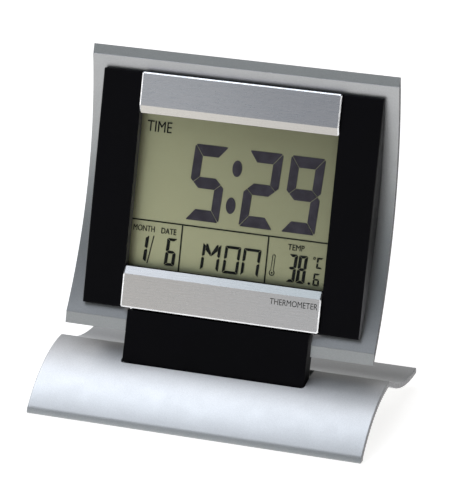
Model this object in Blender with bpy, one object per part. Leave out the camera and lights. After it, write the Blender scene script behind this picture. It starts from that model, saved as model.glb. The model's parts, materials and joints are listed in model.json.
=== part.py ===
"""Folding travel clock with a liquid-crystal display: an S-curved silver foot, a black hinge neck, and a
head made of a curved silver plate between a black display housing and a black rear cover.

Written in millimetres and scaled to metres once. +X is the viewer's right, -Y is the front, +Z is up.
The origin is on the table under the middle of the clock.
"""

import math

import bmesh
import bpy
from mathutils import Vector

MM = 0.001
GAP = 0.3                     # clearance between touching pieces
BEFORE = -4.0                 # depths in front of and behind every head piece, for cutters
BEHIND = 20.0

# Foot: one bent sheet, long in X, with a front arch, a crest and a flat tray behind.
BASE_HALF_WIDTH = 57.1
BASE_SHEET = 1.9
BASE_FRONT = (-31.33, 1.7)
BASE_CREST = (-1.3, 15.4)
BASE_REAR = (31.46, 6.3)
BASE_FRONT_HANDLE = 14.4
BASE_FRONT_SLOPE = math.radians(46.6)
BASE_CREST_HANDLES = (8.8, 3.2)
BASE_REAR_HANDLE = 20.5
BASE_REAR_SLOPE = math.radians(1.2)
BASE_LIFT = 0.12              # the sheet's front edge floats this much above the table
BASE_TOE = 0.6                # and its lower corner stands this far forward of the upper one
BASE_SEGMENTS = 14

# Fold hinge: the neck's barrel turns on a steel pin below the crest.
PIVOT_Y = -9.35
PIVOT_Z = 10.4
REST_LEAN = math.radians(17.3)
BARREL_RADIUS = 2.6
BARREL_HALF = 30.4
PIN_RADIUS = 0.8
PIN_CLEARANCE = 0.15
WASHER_THICKNESS = 1.0
EAR_INNER = BARREL_HALF + WASHER_THICKNESS + 2 * GAP
EAR_THICKNESS = 3.6
EAR_TOP_RADIUS = 1.75
EAR_FOOT = 6.0                # half the ear's depth where it meets the bracket plate
WASHER_RADIUS = 2.2
SLOT_HALF = 31.7
SLOT_FRONT = PIVOT_Y - 2.85
SLOT_REAR = PIVOT_Y + 12.6
SLOT_CORNER = 1.2

# Bracket under the arch.
BRACKET_BOTTOM = 1.0
BRACKET_TOP = 2.6
BRACKET_HALF = 46.0
BRACKET_FRONT = -21.5
BRACKET_REAR = 2.0
BRACKET_SCREW_X = 41.0
BRACKET_SCREW_Y = (-18.0, -1.5)
BRACKET_SCREWS = [(side * BRACKET_SCREW_X, y) for side in (-1, 1) for y in BRACKET_SCREW_Y]
BRACKET_SCREW_TIP = 6.5
BRACKET_SCREW_SEAT = 1.6
BRACKET_CORNER = 2.0
BOSS_RADIUS = 2.4
BORE_RADIUS = 1.05
SCREW_SHANK = 0.7
SCREW_HEAD = 1.9
FOOT_RADIUS = 4.0
FRONT_FOOT = (26.0, -17.0)
REAR_FOOT = (38.0, 24.5)
REAR_FOOT_HEIGHT = 4.0

# Head: everything below is in the face frame, where y is the depth behind the housing's front face
# and z is the height above the housing's lower edge, measured along the leaning face.
FACE_FORWARD = 1.24           # the face plane lies this much in front of the hinge axis
FACE_RISE = 20.15
HOUSING_HALF = 47.75
HOUSING_HEIGHT = 77.7
HOUSING_WALL = 2.75
FRONT_WALL = 3.0
WINDOW_HALF = 34.0
WINDOW_BOTTOM = 13.9
WINDOW_TOP = 64.2
TRIM_PROUD = 1.0
TRIM_BACK = 0.5
TRIM_CHAMFER = 2.5
TRIM_RECESS = TRIM_BACK + GAP
PLATE_HALF = 52.7
PLATE_MIDDLE = 39.0
PLATE_RADIUS = 124.7
PLATE_CENTRE_Y = -116.9
PLATE_THICKNESS = 1.8
PLATE_CHORD = 42.9
PLATE_LIPS = (3.85, 3.3)      # heights of the lower and the upper lip
LIP_STEP = 0.25
LIP_CHAMFER = 0.15
PLATE_TAPER = 0.0085          # the plate widens by this share from its middle to its lower crease
PLATE_OPENING = (44.8, 6.0, 72.0)
NECK_HALF = 31.25
NECK_FRONT = -1.6             # front and rear faces of the slab, and of the tab behind the plate
NECK_REAR = 3.7
NECK_TAB = (8.8, 10.6)
NECK_TAB_TOP = 9.4
NECK_SLOT_HALF = NECK_HALF + 0.65
COVER_HALF = 46.5
COVER_WALL = 1.6
COVER_BACK = 17.5
COVER_BOTTOM = 2.5
COVER_TOP = 75.5
LENS = (36.0, 11.9, 66.2, 3.3, 4.1)
PANEL = (36.0, 10.0, 68.0, 4.4, 6.4)
CARRIER_OUTER = (39.5, 6.5, 71.5)
CARRIER_INNER = (36.4, 9.6, 68.4)
CARRIER_DEPTH = (4.4, 8.4)
BOARD = (39.2, 9.9, 70.5, 8.7, 9.7)
BOARD_REAR = BOARD[4]
HOUSING_BOSSES = ((42.3, 14.0), (42.3, 64.0))
NECK_BOSS = (20.0, 7.2)
HEAD_BOSS_RADIUS = 2.1
COVER_PAD_RADIUS = 2.4
BOSS_MEET = 12.5              # depth where housing and neck bosses meet the cover's pads
SCREW_SEAT = 15.3
COVER_SCREW_TIP = 10.9
BOARD_SCREWS = ((37.9, 13.0), (37.9, 65.0))
BOARD_SCREW_TIP = 5.6
CONTACT_STRIPS = (("contact_strip_lower", 11.4), ("contact_strip_upper", 66.4))
BUTTON_X = (-24.0, -8.0, 8.0, 24.0)
BUTTON_Z = 51.0
BUTTON_NAMES = ("mode_button", "set_button", "up_button", "down_button")
BUTTON_RADIUS = 3.0
BUTTON_PROUD = 0.8
SWITCH_HALF = 2.3
SLIDER = (-24.0, 38.0)
SLIDER_KNOB = (1.6, 1.3)
SLIDER_TRAVEL = 2.6
BUZZER = (-24.0, 22.0)
BUZZER_RADIUS = 9.0
BUZZER_DEPTH = (13.4, 13.9)
SOUND_RING = 4.0
SOUND_HOLE = 0.9
CELL_RADIUS = 5.8
CELL_HEIGHT = 5.4
CELL_X = (16.5, 29.5)
CELL_Z = 24.0
CELL_FRONT = 10.6
POCKET = (10.2, 35.8, 17.6, 30.4)
DOOR = (9.2, 46.2, 16.2, 31.8)
DOOR_THICKNESS = 1.1

ROUND = 24                    # sides of a visible round piece
SMALL_ROUND = 12              # sides of a screw, pin or boss

COLOURS = {
    "silver_paint": ((0.62, 0.63, 0.65), 0.32, 0.85),
    "black_plastic": ((0.012, 0.012, 0.016), 0.45, 0.0),
    "brushed_metal": ((0.46, 0.46, 0.47), 0.30, 1.0),
    "clear_lens": ((0.85, 0.87, 0.85), 0.05, 0.0),
    "display_glass": ((0.24, 0.24, 0.15), 0.25, 0.0),
    "carrier_plastic": ((0.05, 0.05, 0.05), 0.5, 0.0),
    "contact_rubber": ((0.30, 0.30, 0.34), 0.7, 0.0),
    "circuit_board": ((0.02, 0.16, 0.07), 0.4, 0.0),
    "epoxy": ((0.01, 0.01, 0.01), 0.3, 0.0),
    "steel": ((0.55, 0.55, 0.56), 0.3, 1.0),
    "brass": ((0.70, 0.50, 0.20), 0.35, 1.0),
    "cell_steel": ((0.65, 0.65, 0.66), 0.25, 1.0),
    "grey_button": ((0.20, 0.20, 0.21), 0.5, 0.0),
    "rubber": ((0.03, 0.03, 0.03), 0.8, 0.0),
}


def make_material(name):
    """One Principled material from the colour table."""
    colour, roughness, metallic = COLOURS[name]
    material = bpy.data.materials.new(name)
    material.use_nodes = True
    shader = material.node_tree.nodes["Principled BSDF"]
    shader.inputs["Base Color"].default_value = (*colour, 1.0)
    shader.inputs["Roughness"].default_value = roughness
    shader.inputs["Metallic"].default_value = metallic
    return material


def add_empty(name, location, lean=0.0):
    """A frame that pieces are parented to."""
    empty = bpy.data.objects.new(name, None)
    bpy.context.scene.collection.objects.link(empty)
    empty.location = Vector(location) * MM
    empty.rotation_euler.x = -lean
    return empty


def add_object(name, mesh, frame, material=None, smooth=False):
    """Links a mesh to the scene in its frame's coordinates."""
    if smooth:
        mesh.shade_smooth()
        mesh.set_sharp_from_angle(angle=math.radians(30))
    obj = bpy.data.objects.new(name, mesh)
    bpy.context.scene.collection.objects.link(obj)
    obj.parent = frame
    if material:
        mesh.materials.append(MATERIALS[material])
    return obj


def to_mesh(bm, name):
    """Turns a bmesh in millimetres into a mesh in metres."""
    bmesh.ops.scale(bm, vec=(MM, MM, MM), verts=bm.verts)
    mesh = bpy.data.meshes.new(name)
    bm.to_mesh(mesh)
    bm.free()
    return mesh


def face_outwards(bm):
    """Makes the faces of one closed solid point out."""
    bmesh.ops.recalc_face_normals(bm, faces=bm.faces)
    if bm.calc_volume(signed=True) < 0:
        bmesh.ops.reverse_faces(bm, faces=bm.faces)


def prism(outline, low, high, axis):
    """A solid from a closed outline, extruded along one axis.

    The outline's points are (y, z) for axis X, (x, z) for axis Y and (x, y) for axis Z.
    """
    bm = bmesh.new()

    def corner(point, along):
        coords = list(point)
        coords.insert("XYZ".index(axis), along)
        return bm.verts.new(coords)

    face = bm.faces.new([corner(point, low) for point in outline])
    extruded = bmesh.ops.extrude_face_region(bm, geom=[face])
    moved = [item for item in extruded["geom"] if isinstance(item, bmesh.types.BMVert)]
    shift = [0.0, 0.0, 0.0]
    shift["XYZ".index(axis)] = high - low
    bmesh.ops.translate(bm, vec=shift, verts=moved)
    face_outwards(bm)
    return bm


def rectangle(x0, x1, z0, z1, radius=0.0, steps=4):
    """A rectangle's outline, with round corners when a radius is given."""
    if radius == 0.0:
        return [(x0, z0), (x1, z0), (x1, z1), (x0, z1)]
    corners = ((x1 - radius, z0 + radius, -90), (x1 - radius, z1 - radius, 0),
               (x0 + radius, z1 - radius, 90), (x0 + radius, z0 + radius, 180))
    outline = []
    for cx, cz, start in corners:
        for step in range(steps + 1):
            angle = math.radians(start + 90 * step / steps)
            outline.append((cx + radius * math.cos(angle), cz + radius * math.sin(angle)))
    return outline


def circle(cx, cz, radius, sides):
    """A circle's outline."""
    turn = 2 * math.pi / sides
    return [(cx + radius * math.cos(turn * i), cz + radius * math.sin(turn * i)) for i in range(sides)]


def merge(*parts):
    """Puts separate solids into one bmesh."""
    whole = parts[0]
    for part in parts[1:]:
        mesh = bpy.data.meshes.new("merge_step")
        part.to_mesh(mesh)
        part.free()
        whole.from_mesh(mesh)
        bpy.data.meshes.remove(mesh)
    return whole


def turned(cx, cz, steps, sides):
    """A solid stack of discs along Y from (depth, radius) steps, front to back."""
    bm = bmesh.new()
    rings = []
    for depth, radius in steps:
        rings.append([bm.verts.new((x, depth, z)) for x, z in circle(cx, cz, radius, sides)])
    bm.faces.new(rings[0])
    bm.faces.new(rings[-1])
    for near, far in zip(rings, rings[1:]):
        for i in range(sides):
            j = (i + 1) % sides
            bm.faces.new((near[i], near[j], far[j], far[i]))
    face_outwards(bm)
    return bm


def combine(target, operation, bm, name):
    """Adds a Boolean of the target with a hidden helper solid in the same frame."""
    helper = add_object(name, to_mesh(bm, name), target.parent)
    helper.hide_render = True
    helper.display_type = "WIRE"
    modifier = target.modifiers.new(name, "BOOLEAN")
    modifier.operation = operation
    modifier.solver = "EXACT"
    modifier.object = helper


def cut(target, bm, name):
    combine(target, "DIFFERENCE", bm, target.name + "_cut_" + name)


def weld(target, bm, name):
    combine(target, "UNION", bm, target.name + "_add_" + name)


def mirrored(points):
    """Each (x, other) point and its twin at -x."""
    return [(side * x, other) for x, other in points for side in (-1, 1)]


def bezier(p0, p1, p2, p3, count):
    """Points on a cubic curve, both ends included."""
    points = []
    for i in range(count + 1):
        t = i / count
        s = 1 - t
        weights = (s ** 3, 3 * s * s * t, 3 * s * t * t, t ** 3)
        points.append(tuple(sum(w * p[k] for w, p in zip(weights, (p0, p1, p2, p3))) for k in (0, 1)))
    return points


def base_top_line():
    """The foot's upper line, front to rear, as (y, z)."""
    fy, fz = BASE_FRONT
    cy, cz = BASE_CREST
    ry, rz = BASE_REAR
    rise = (BASE_FRONT_HANDLE * math.cos(BASE_FRONT_SLOPE), BASE_FRONT_HANDLE * math.sin(BASE_FRONT_SLOPE))
    before, after = BASE_CREST_HANDLES
    tail = (BASE_REAR_HANDLE * math.cos(BASE_REAR_SLOPE), BASE_REAR_HANDLE * math.sin(BASE_REAR_SLOPE))
    arch = bezier((fy, fz), (fy + rise[0], fz + rise[1]), (cy - before, cz), (cy, cz), BASE_SEGMENTS)
    tray = bezier((cy, cz), (cy + after, cz), (ry - tail[0], rz - tail[1]), (ry, rz), BASE_SEGMENTS)
    return arch + tray[1:]


def offset_line(line, distance):
    """The line moved towards its lower side by a distance, along its normals."""
    moved = []
    for i, point in enumerate(line):
        a = line[max(i - 1, 0)]
        b = line[min(i + 1, len(line) - 1)]
        run = Vector((b[0] - a[0], b[1] - a[1])).normalized()
        moved.append((point[0] + run.y * distance, point[1] - run.x * distance))
    return moved


def arc_between(radius, low, high, count):
    """Points of an arc about the plate's centre line between two heights, low to high."""
    start = math.asin((low - PLATE_MIDDLE) / radius)
    end = math.asin((high - PLATE_MIDDLE) / radius)
    points = []
    for i in range(count + 1):
        angle = start + (end - start) * i / count
        y = PLATE_CENTRE_Y + radius * math.cos(angle)
        points.append((y, PLATE_MIDDLE + radius * math.sin(angle)))
    return points


def screws(name, frame, places, tip, seat, axis):
    """Numbered pan-head screws along +Y, or along -Z when they come from below."""
    shank = [(tip, SCREW_SHANK), (seat, SCREW_SHANK)]
    side = 1 if axis == "Y" else -1
    head = [(seat, SCREW_HEAD), (seat + side * 0.4, SCREW_HEAD), (seat + side * 0.7, SCREW_HEAD * 0.7)]
    for number, (a, b) in enumerate(places, 1):
        stack = turned(a, b, shank + head, SMALL_ROUND)
        if axis == "Z":
            stand_up(stack)
        label = f"{name}_{number}"
        add_object(label, to_mesh(stack, label), frame, "steel", smooth=True)


def stand_up(bm):
    """Turns a stack made along Y so that it stands along Z."""
    for vert in bm.verts:
        vert.co = (vert.co.x, vert.co.z, vert.co.y)
    face_outwards(bm)


def make_base():
    """The bent silver sheet, with bosses below and the slot that the neck folds through."""
    top = base_top_line()
    under = [point for point in offset_line(top, BASE_SHEET) if point[1] > BASE_LIFT + 0.6]
    front = [(BASE_FRONT[0] - BASE_TOE, BASE_LIFT), (BASE_FRONT[0] + 2.0, BASE_LIFT)]
    outline = top + under[::-1] + front[::-1]
    base = add_object("base_shell", to_mesh(prism(outline, -BASE_HALF_WIDTH, BASE_HALF_WIDTH, "X"),
                                            "base_shell"), FOOT, "silver_paint")
    middle = offset_line(top, BASE_SHEET / 2)
    below = [(middle[-1][0], 0.0), (middle[0][0], 0.0)]
    above = BASE_CREST[1] + 5.0
    posts = merge(*[prism(circle(x, y, BOSS_RADIUS, SMALL_ROUND), BRACKET_TOP + GAP, above, "Z")
                    for x, y in BRACKET_SCREWS])
    bosses = add_object("base_bosses", to_mesh(posts, "base_bosses"), FOOT)
    bosses.hide_render = True
    bosses.display_type = "WIRE"
    combine(bosses, "INTERSECT", prism(middle + below, -BASE_HALF_WIDTH, BASE_HALF_WIDTH, "X"),
            "boss_trim")
    modifier = base.modifiers.new("bosses", "BOOLEAN")
    modifier.operation = "UNION"
    modifier.solver = "EXACT"
    modifier.object = bosses
    slot = rectangle(-SLOT_HALF, SLOT_HALF, SLOT_FRONT, SLOT_REAR, SLOT_CORNER)
    cut(base, prism(slot, 0.0, above, "Z"), "slot")
    holes = merge(*[prism(circle(x, y, BORE_RADIUS, SMALL_ROUND), 0.0, BRACKET_SCREW_TIP + 0.5, "Z")
                    for x, y in BRACKET_SCREWS])
    cut(base, holes, "screw_holes")
    screws("bracket_screw", FOOT, BRACKET_SCREWS, BRACKET_SCREW_TIP, BRACKET_SCREW_SEAT, "Z")


def make_bracket():
    """The black bracket under the arch: a plate with two ears that hold the hinge pin."""
    plate = prism(rectangle(-BRACKET_HALF, BRACKET_HALF, BRACKET_FRONT, BRACKET_REAR, BRACKET_CORNER),
                  BRACKET_BOTTOM, BRACKET_TOP, "Z")
    bracket = add_object("hinge_bracket", to_mesh(plate, "hinge_bracket"), FOOT, "black_plastic")
    crown = []
    steps = 8
    for step in range(steps + 1):
        angle = math.pi * (1 - step / steps)
        crown.append((PIVOT_Y + EAR_TOP_RADIUS * math.cos(angle), PIVOT_Z + EAR_TOP_RADIUS * math.sin(angle)))
    root = BRACKET_TOP - 0.5
    outline = [(PIVOT_Y - EAR_FOOT, root)] + crown + [(PIVOT_Y + EAR_FOOT, root)]
    for name, side in (("left", -1), ("right", 1)):
        ends = sorted((side * EAR_INNER, side * (EAR_INNER + EAR_THICKNESS)))
        weld(bracket, prism(outline, ends[0], ends[1], "X"), "ear_" + name)
    reach = EAR_INNER + EAR_THICKNESS + 1.0
    cut(bracket, prism(circle(PIVOT_Y, PIVOT_Z, PIN_RADIUS + PIN_CLEARANCE, SMALL_ROUND), -reach, reach, "X"),
        "pin_bore")
    holes = merge(*[prism(circle(x, y, BORE_RADIUS, SMALL_ROUND), 0.0, BRACKET_TOP + 1.0, "Z")
                    for x, y in BRACKET_SCREWS])
    cut(bracket, holes, "holes")
    seats = merge(*[prism(circle(x, y, SCREW_HEAD + GAP, SMALL_ROUND), 0.0, BRACKET_SCREW_SEAT + GAP, "Z")
                    for x, y in BRACKET_SCREWS])
    cut(bracket, seats, "seats")


def make_hinge():
    """The steel pin and the two friction washers."""
    reach = EAR_INNER + EAR_THICKNESS - 0.4
    pin = prism(circle(PIVOT_Y, PIVOT_Z, PIN_RADIUS, SMALL_ROUND), -reach, reach, "X")
    add_object("hinge_pin", to_mesh(pin, "hinge_pin"), FOOT, "steel", smooth=True)
    for name, side in (("left", -1), ("right", 1)):
        ends = sorted((side * (BARREL_HALF + GAP), side * (BARREL_HALF + GAP + WASHER_THICKNESS)))
        disc = prism(circle(PIVOT_Y, PIVOT_Z, WASHER_RADIUS, ROUND), ends[0], ends[1], "X")
        washer = add_object("friction_washer_" + name, to_mesh(disc, "washer"), FOOT, "steel", smooth=True)
        hole = prism(circle(PIVOT_Y, PIVOT_Z, PIN_RADIUS + PIN_CLEARANCE, SMALL_ROUND), ends[0] - 1,
                     ends[1] + 1, "X")
        cut(washer, hole, "bore")


def make_feet():
    """Two thin rubber pads under the bracket and two taller bumpers under the tray."""
    for name, side in (("left", -1), ("right", 1)):
        x, y = FRONT_FOOT
        pad = prism(circle(side * x, y, FOOT_RADIUS, ROUND), 0.0, BRACKET_BOTTOM - GAP, "Z")
        add_object("front_foot_" + name, to_mesh(pad, "front_foot"), FOOT, "rubber", smooth=True)
        x, y = REAR_FOOT
        stack = turned(side * x, y, [(0.0, FOOT_RADIUS - 0.6), (0.5, FOOT_RADIUS),
                                     (REAR_FOOT_HEIGHT, FOOT_RADIUS)], ROUND)
        stand_up(stack)
        add_object("rear_foot_" + name, to_mesh(stack, "rear_foot"), FOOT, "rubber", smooth=True)


def make_neck():
    """The black neck: a slab in front, a stepped tab into the head, and the barrel at its lower end."""
    axis_z = -FACE_RISE
    slab_foot = axis_z + BARREL_RADIUS
    tab_front, tab_back = NECK_TAB
    outline = [(NECK_FRONT, slab_foot), (NECK_FRONT, -14.0), (-TRIM_PROUD, -GAP - 0.05), (3.3, -GAP - 0.05),
               (3.3, 5.9), (tab_front, 5.9), (tab_front, NECK_TAB_TOP), (tab_back, NECK_TAB_TOP),
               (tab_back, 2.0), (4.5, -3.0), (NECK_REAR, slab_foot), (FACE_FORWARD + 2.1, axis_z + 0.5),
               (FACE_FORWARD, axis_z), (FACE_FORWARD - 2.1, axis_z + 0.5)]
    neck = add_object("neck", to_mesh(prism(outline, -NECK_HALF, NECK_HALF, "X"), "neck"), HEAD,
                      "black_plastic")
    reach = HOUSING_HALF
    for name, side in (("left", -1), ("right", 1)):
        ends = sorted((side * BARREL_HALF, side * (NECK_HALF + 1)))
        block = prism(rectangle(BEFORE, BEHIND, axis_z - BARREL_RADIUS - 1.0, slab_foot), ends[0],
                      ends[1], "X")
        cut(neck, block, "shoulder_" + name)
    weld(neck, prism(circle(FACE_FORWARD, axis_z, BARREL_RADIUS, ROUND), -BARREL_HALF, BARREL_HALF, "X"),
         "barrel")
    cut(neck, prism(circle(FACE_FORWARD, axis_z, PIN_RADIUS + PIN_CLEARANCE, SMALL_ROUND), -reach,
                    reach, "X"), "bore")
    places = mirrored([NECK_BOSS])
    posts = merge(*[prism(circle(x, z, HEAD_BOSS_RADIUS, SMALL_ROUND), tab_back - 0.6, BOSS_MEET, "Y")
                    for x, z in places])
    weld(neck, posts, "bosses")
    holes = merge(*[prism(circle(x, z, BORE_RADIUS, SMALL_ROUND), COVER_SCREW_TIP - 1.0, BEHIND, "Y")
                    for x, z in places])
    cut(neck, holes, "holes")


def make_plate():
    """The curved silver plate: an arc across its height, with flat lips and an opening for the works."""
    lower_lip, upper_lip = PLATE_LIPS
    bottom = PLATE_MIDDLE - PLATE_CHORD - lower_lip
    top = PLATE_MIDDLE + PLATE_CHORD + upper_lip
    front = arc_between(PLATE_RADIUS, PLATE_MIDDLE - PLATE_CHORD, PLATE_MIDDLE + PLATE_CHORD, 20)
    back = arc_between(PLATE_RADIUS + PLATE_THICKNESS, bottom, top, 20)
    lip_y = front[0][0] + LIP_STEP
    outline = front + [(lip_y, top - LIP_CHAMFER)] + back[::-1] + [(lip_y, bottom + LIP_CHAMFER)]
    blank = prism(outline, -PLATE_HALF, PLATE_HALF, "X")
    for vert in blank.verts:
        vert.co.x *= 1 + PLATE_TAPER * (PLATE_MIDDLE - vert.co.z) / PLATE_CHORD
    plate = add_object("head_plate", to_mesh(blank, "head_plate"), HEAD, "silver_paint")
    half, low, high = PLATE_OPENING
    cut(plate, prism(rectangle(-half, half, low, high, 2.0), BEFORE, BEHIND, "Y"), "opening")
    cut(plate, prism(rectangle(-NECK_SLOT_HALF, NECK_SLOT_HALF, bottom - 1.0, low + 2.0), BEFORE,
                     BEHIND, "Y"), "neck_notch")


def make_housing():
    """The black display housing: flat front, back trimmed to the plate's curve, open behind."""
    radius = PLATE_RADIUS - GAP
    outline = [(0.0, 0.0)] + arc_between(radius, 0.0, HOUSING_HEIGHT, 14) + [(0.0, HOUSING_HEIGHT)]
    housing = add_object("front_housing", to_mesh(prism(outline, -HOUSING_HALF, HOUSING_HALF, "X"),
                                                  "front_housing"), HEAD, "black_plastic")
    inner = HOUSING_HALF - HOUSING_WALL
    cut(housing, prism(rectangle(-inner, inner, 2.0, HOUSING_HEIGHT - 2.0, 1.5), FRONT_WALL, BEHIND, "Y"),
        "cavity")
    cut(housing, prism(rectangle(-WINDOW_HALF, WINDOW_HALF, WINDOW_BOTTOM, WINDOW_TOP), BEFORE, BEHIND, "Y"),
        "window")
    pocket = WINDOW_HALF + GAP
    cut(housing, prism(rectangle(-pocket, pocket, -1.0, WINDOW_BOTTOM + 0.01), BEFORE, TRIM_RECESS, "Y"),
        "lower_pocket")
    cut(housing, prism(rectangle(-pocket, pocket, WINDOW_TOP - 0.01, HOUSING_HEIGHT + 1), BEFORE, TRIM_RECESS,
                       "Y"), "upper_pocket")
    places = mirrored(HOUSING_BOSSES)
    posts = merge(*[prism(circle(x, z, HEAD_BOSS_RADIUS, SMALL_ROUND), FRONT_WALL - 1.0, BOSS_MEET, "Y")
                    for x, z in places])
    weld(housing, posts, "bosses")
    holes = merge(*[prism(circle(x, z, BORE_RADIUS, SMALL_ROUND), FRONT_WALL + 2.0, BEHIND, "Y")
                    for x, z in places])
    cut(housing, holes, "holes")


def make_trims():
    """The two brushed bars above and below the window, each chamfered towards it."""
    low = WINDOW_BOTTOM - 0.05
    lower = [(TRIM_BACK, GAP), (-TRIM_PROUD, GAP), (-TRIM_PROUD, low - TRIM_CHAMFER), (0.1, low),
             (TRIM_BACK, low)]
    high = WINDOW_TOP + 0.1
    upper = [(TRIM_BACK, HOUSING_HEIGHT), (-TRIM_PROUD, HOUSING_HEIGHT), (-TRIM_PROUD, high + TRIM_CHAMFER),
             (0.1, high), (TRIM_BACK, high)]
    for name, outline in (("bottom_trim", lower), ("top_trim", upper)):
        add_object(name, to_mesh(prism(outline, -WINDOW_HALF, WINDOW_HALF, "X"), name), HEAD, "brushed_metal")


def make_display():
    """Clear window, display glass, its carrier, the two contact strips and the circuit board."""
    half, low, high, front, back = LENS
    add_object("display_window", to_mesh(prism(rectangle(-half, half, low, high), front, back, "Y"),
                                         "display_window"), HEAD, "clear_lens")
    half, low, high, front, back = PANEL
    add_object("lcd_panel", to_mesh(prism(rectangle(-half, half, low, high), front, back, "Y"), "lcd_panel"),
               HEAD, "display_glass")
    half, low, high = CARRIER_OUTER
    carrier = add_object("lcd_carrier", to_mesh(prism(rectangle(-half, half, low, high, 1.0),
                                                      *CARRIER_DEPTH, "Y"), "lcd_carrier"), HEAD, "carrier_plastic")
    half, low, high = CARRIER_INNER
    cut(carrier, prism(rectangle(-half, half, low, high), BEFORE, BEHIND, "Y"), "window")
    strip_front = PANEL[4] + GAP
    strip_back = BOARD[3] - GAP
    for name, z in CONTACT_STRIPS:
        strip = prism(rectangle(-30.0, 30.0, z - 1.0, z + 1.0), strip_front, strip_back, "Y")
        add_object(name, to_mesh(strip, name), HEAD, "contact_rubber")
    half, low, high, front, back = BOARD
    board = add_object("circuit_board", to_mesh(prism(rectangle(-half, half, low, high, 1.0), front,
                                                      back, "Y"), "circuit_board"), HEAD, "circuit_board")
    places = mirrored(BOARD_SCREWS)
    for piece in (board, carrier):
        holes = merge(*[prism(circle(x, z, BORE_RADIUS, SMALL_ROUND), BOARD_SCREW_TIP - 0.6, BEHIND, "Y")
                        for x, z in places])
        cut(piece, holes, "holes")
    screws("board_screw", HEAD, places, BOARD_SCREW_TIP, BOARD_REAR + GAP, "Y")


def make_components():
    """What stands on the back of the circuit board."""
    rear = BOARD_REAR + GAP
    dome = turned(0.0, 36.0, [(rear, 5.0), (rear + 0.7, 4.4), (rear + 1.2, 2.6), (rear + 1.35, 0.8)], ROUND)
    add_object("clock_chip", to_mesh(dome, "clock_chip"), HEAD, "epoxy", smooth=True)
    can = prism(circle(rear + 1.0, 41.0, 1.0, SMALL_ROUND), 9.0, 15.2, "X")
    add_object("quartz_crystal", to_mesh(can, "quartz_crystal"), HEAD, "cell_steel", smooth=True)
    bead = turned(34.0, 60.0, [(rear, 0.6), (rear + 0.4, 1.1), (rear + 1.2, 1.3), (rear + 1.9, 0.9)],
                  SMALL_ROUND)
    add_object("thermistor", to_mesh(bead, "thermistor"), HEAD, "epoxy", smooth=True)
    for number, x in enumerate(BUTTON_X, 1):
        body = prism(rectangle(x - SWITCH_HALF, x + SWITCH_HALF, BUTTON_Z - SWITCH_HALF,
                               BUTTON_Z + SWITCH_HALF),
                     rear, rear + 1.3, "Y")
        name = f"key_switch_{number}"
        switch = add_object(name, to_mesh(body, name), HEAD, "cell_steel")
        weld(switch, prism(circle(x, BUTTON_Z, 1.2, SMALL_ROUND), rear + 1.0, rear + 1.8, "Y"), "plunger")
    x, z = SLIDER
    body = prism(rectangle(x - 4.5, x + 4.5, z - 2.0, z + 2.0), rear, rear + 2.2, "Y")
    add_object("alarm_switch_body", to_mesh(body, "alarm_switch_body"), HEAD, "cell_steel")
    x, z = BUZZER
    disc = prism(circle(x, z, BUZZER_RADIUS, ROUND), *BUZZER_DEPTH, "Y")
    add_object("alarm_buzzer", to_mesh(disc, "alarm_buzzer"), HEAD, "brass", smooth=True)


def make_battery():
    """Two button cells, their contacts and the sliding door."""
    for name, x in zip(("cell_inner", "cell_outer"), CELL_X):
        back = CELL_FRONT + CELL_HEIGHT
        steps = [(CELL_FRONT, CELL_RADIUS - 1.0), (CELL_FRONT + 0.5, CELL_RADIUS - 0.8),
                 (CELL_FRONT + 0.6, CELL_RADIUS), (back - 0.3, CELL_RADIUS), (back, CELL_RADIUS - 0.3)]
        add_object(name, to_mesh(turned(x, CELL_Z, steps, ROUND), name), HEAD, "cell_steel", smooth=True)
    middle = sum(CELL_X) / 2
    flat = prism(rectangle(12.0, 34.0, CELL_Z - 2.0, CELL_Z + 2.0), BOARD_REAR + GAP, CELL_FRONT - GAP, "Y")
    add_object("negative_contact", to_mesh(flat, "negative_contact"), HEAD, "brass")
    leaf = prism(rectangle(middle - 0.3, middle + 0.3, 19.0, 29.0), CELL_FRONT + 0.6, 15.2, "Y")
    add_object("positive_contact", to_mesh(leaf, "positive_contact"), HEAD, "brass")
    x0, x1, z0, z1 = DOOR
    front = COVER_BACK - DOOR_THICKNESS
    door = add_object("battery_door", to_mesh(prism(rectangle(x0, x1, z0, z1), front, COVER_BACK, "Y"),
                                              "battery_door"), HEAD, "black_plastic")
    ridges = merge(*[prism(rectangle(x, x + 0.6, z0 + 4.0, z1 - 4.0), COVER_BACK - 0.3, COVER_BACK + 0.5, "Y")
                     for x in (37.0, 38.6, 40.2, 41.8)])
    weld(door, ridges, "ridges")


def make_buttons():
    """Four push buttons in a row and the alarm's sliding knob."""
    for name, x in zip(BUTTON_NAMES, BUTTON_X):
        top = COVER_BACK + BUTTON_PROUD
        steps = [(12.5, 1.5), (14.2, 1.5), (14.2, BUTTON_RADIUS + 0.9), (15.2, BUTTON_RADIUS + 0.9),
                 (15.2, BUTTON_RADIUS), (top - 0.3, BUTTON_RADIUS), (top, BUTTON_RADIUS - 0.4)]
        add_object(name, to_mesh(turned(x, BUTTON_Z, steps, ROUND), name), HEAD, "grey_button", smooth=True)
    x, z = SLIDER
    half_x, half_z = SLIDER_KNOB
    x -= SLIDER_TRAVEL / 2
    knob = add_object("alarm_knob", to_mesh(prism(rectangle(x - half_x, x + half_x, z - half_z, z + half_z),
                                                  13.0, COVER_BACK + 0.7, "Y"), "alarm_knob"),
                      HEAD, "grey_button")
    weld(knob, prism(rectangle(x - half_x - 2.0, x + half_x + 2.0, z - half_z - 1.0, z + half_z + 1.0),
                     14.2, 15.2, "Y"), "guide")


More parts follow.
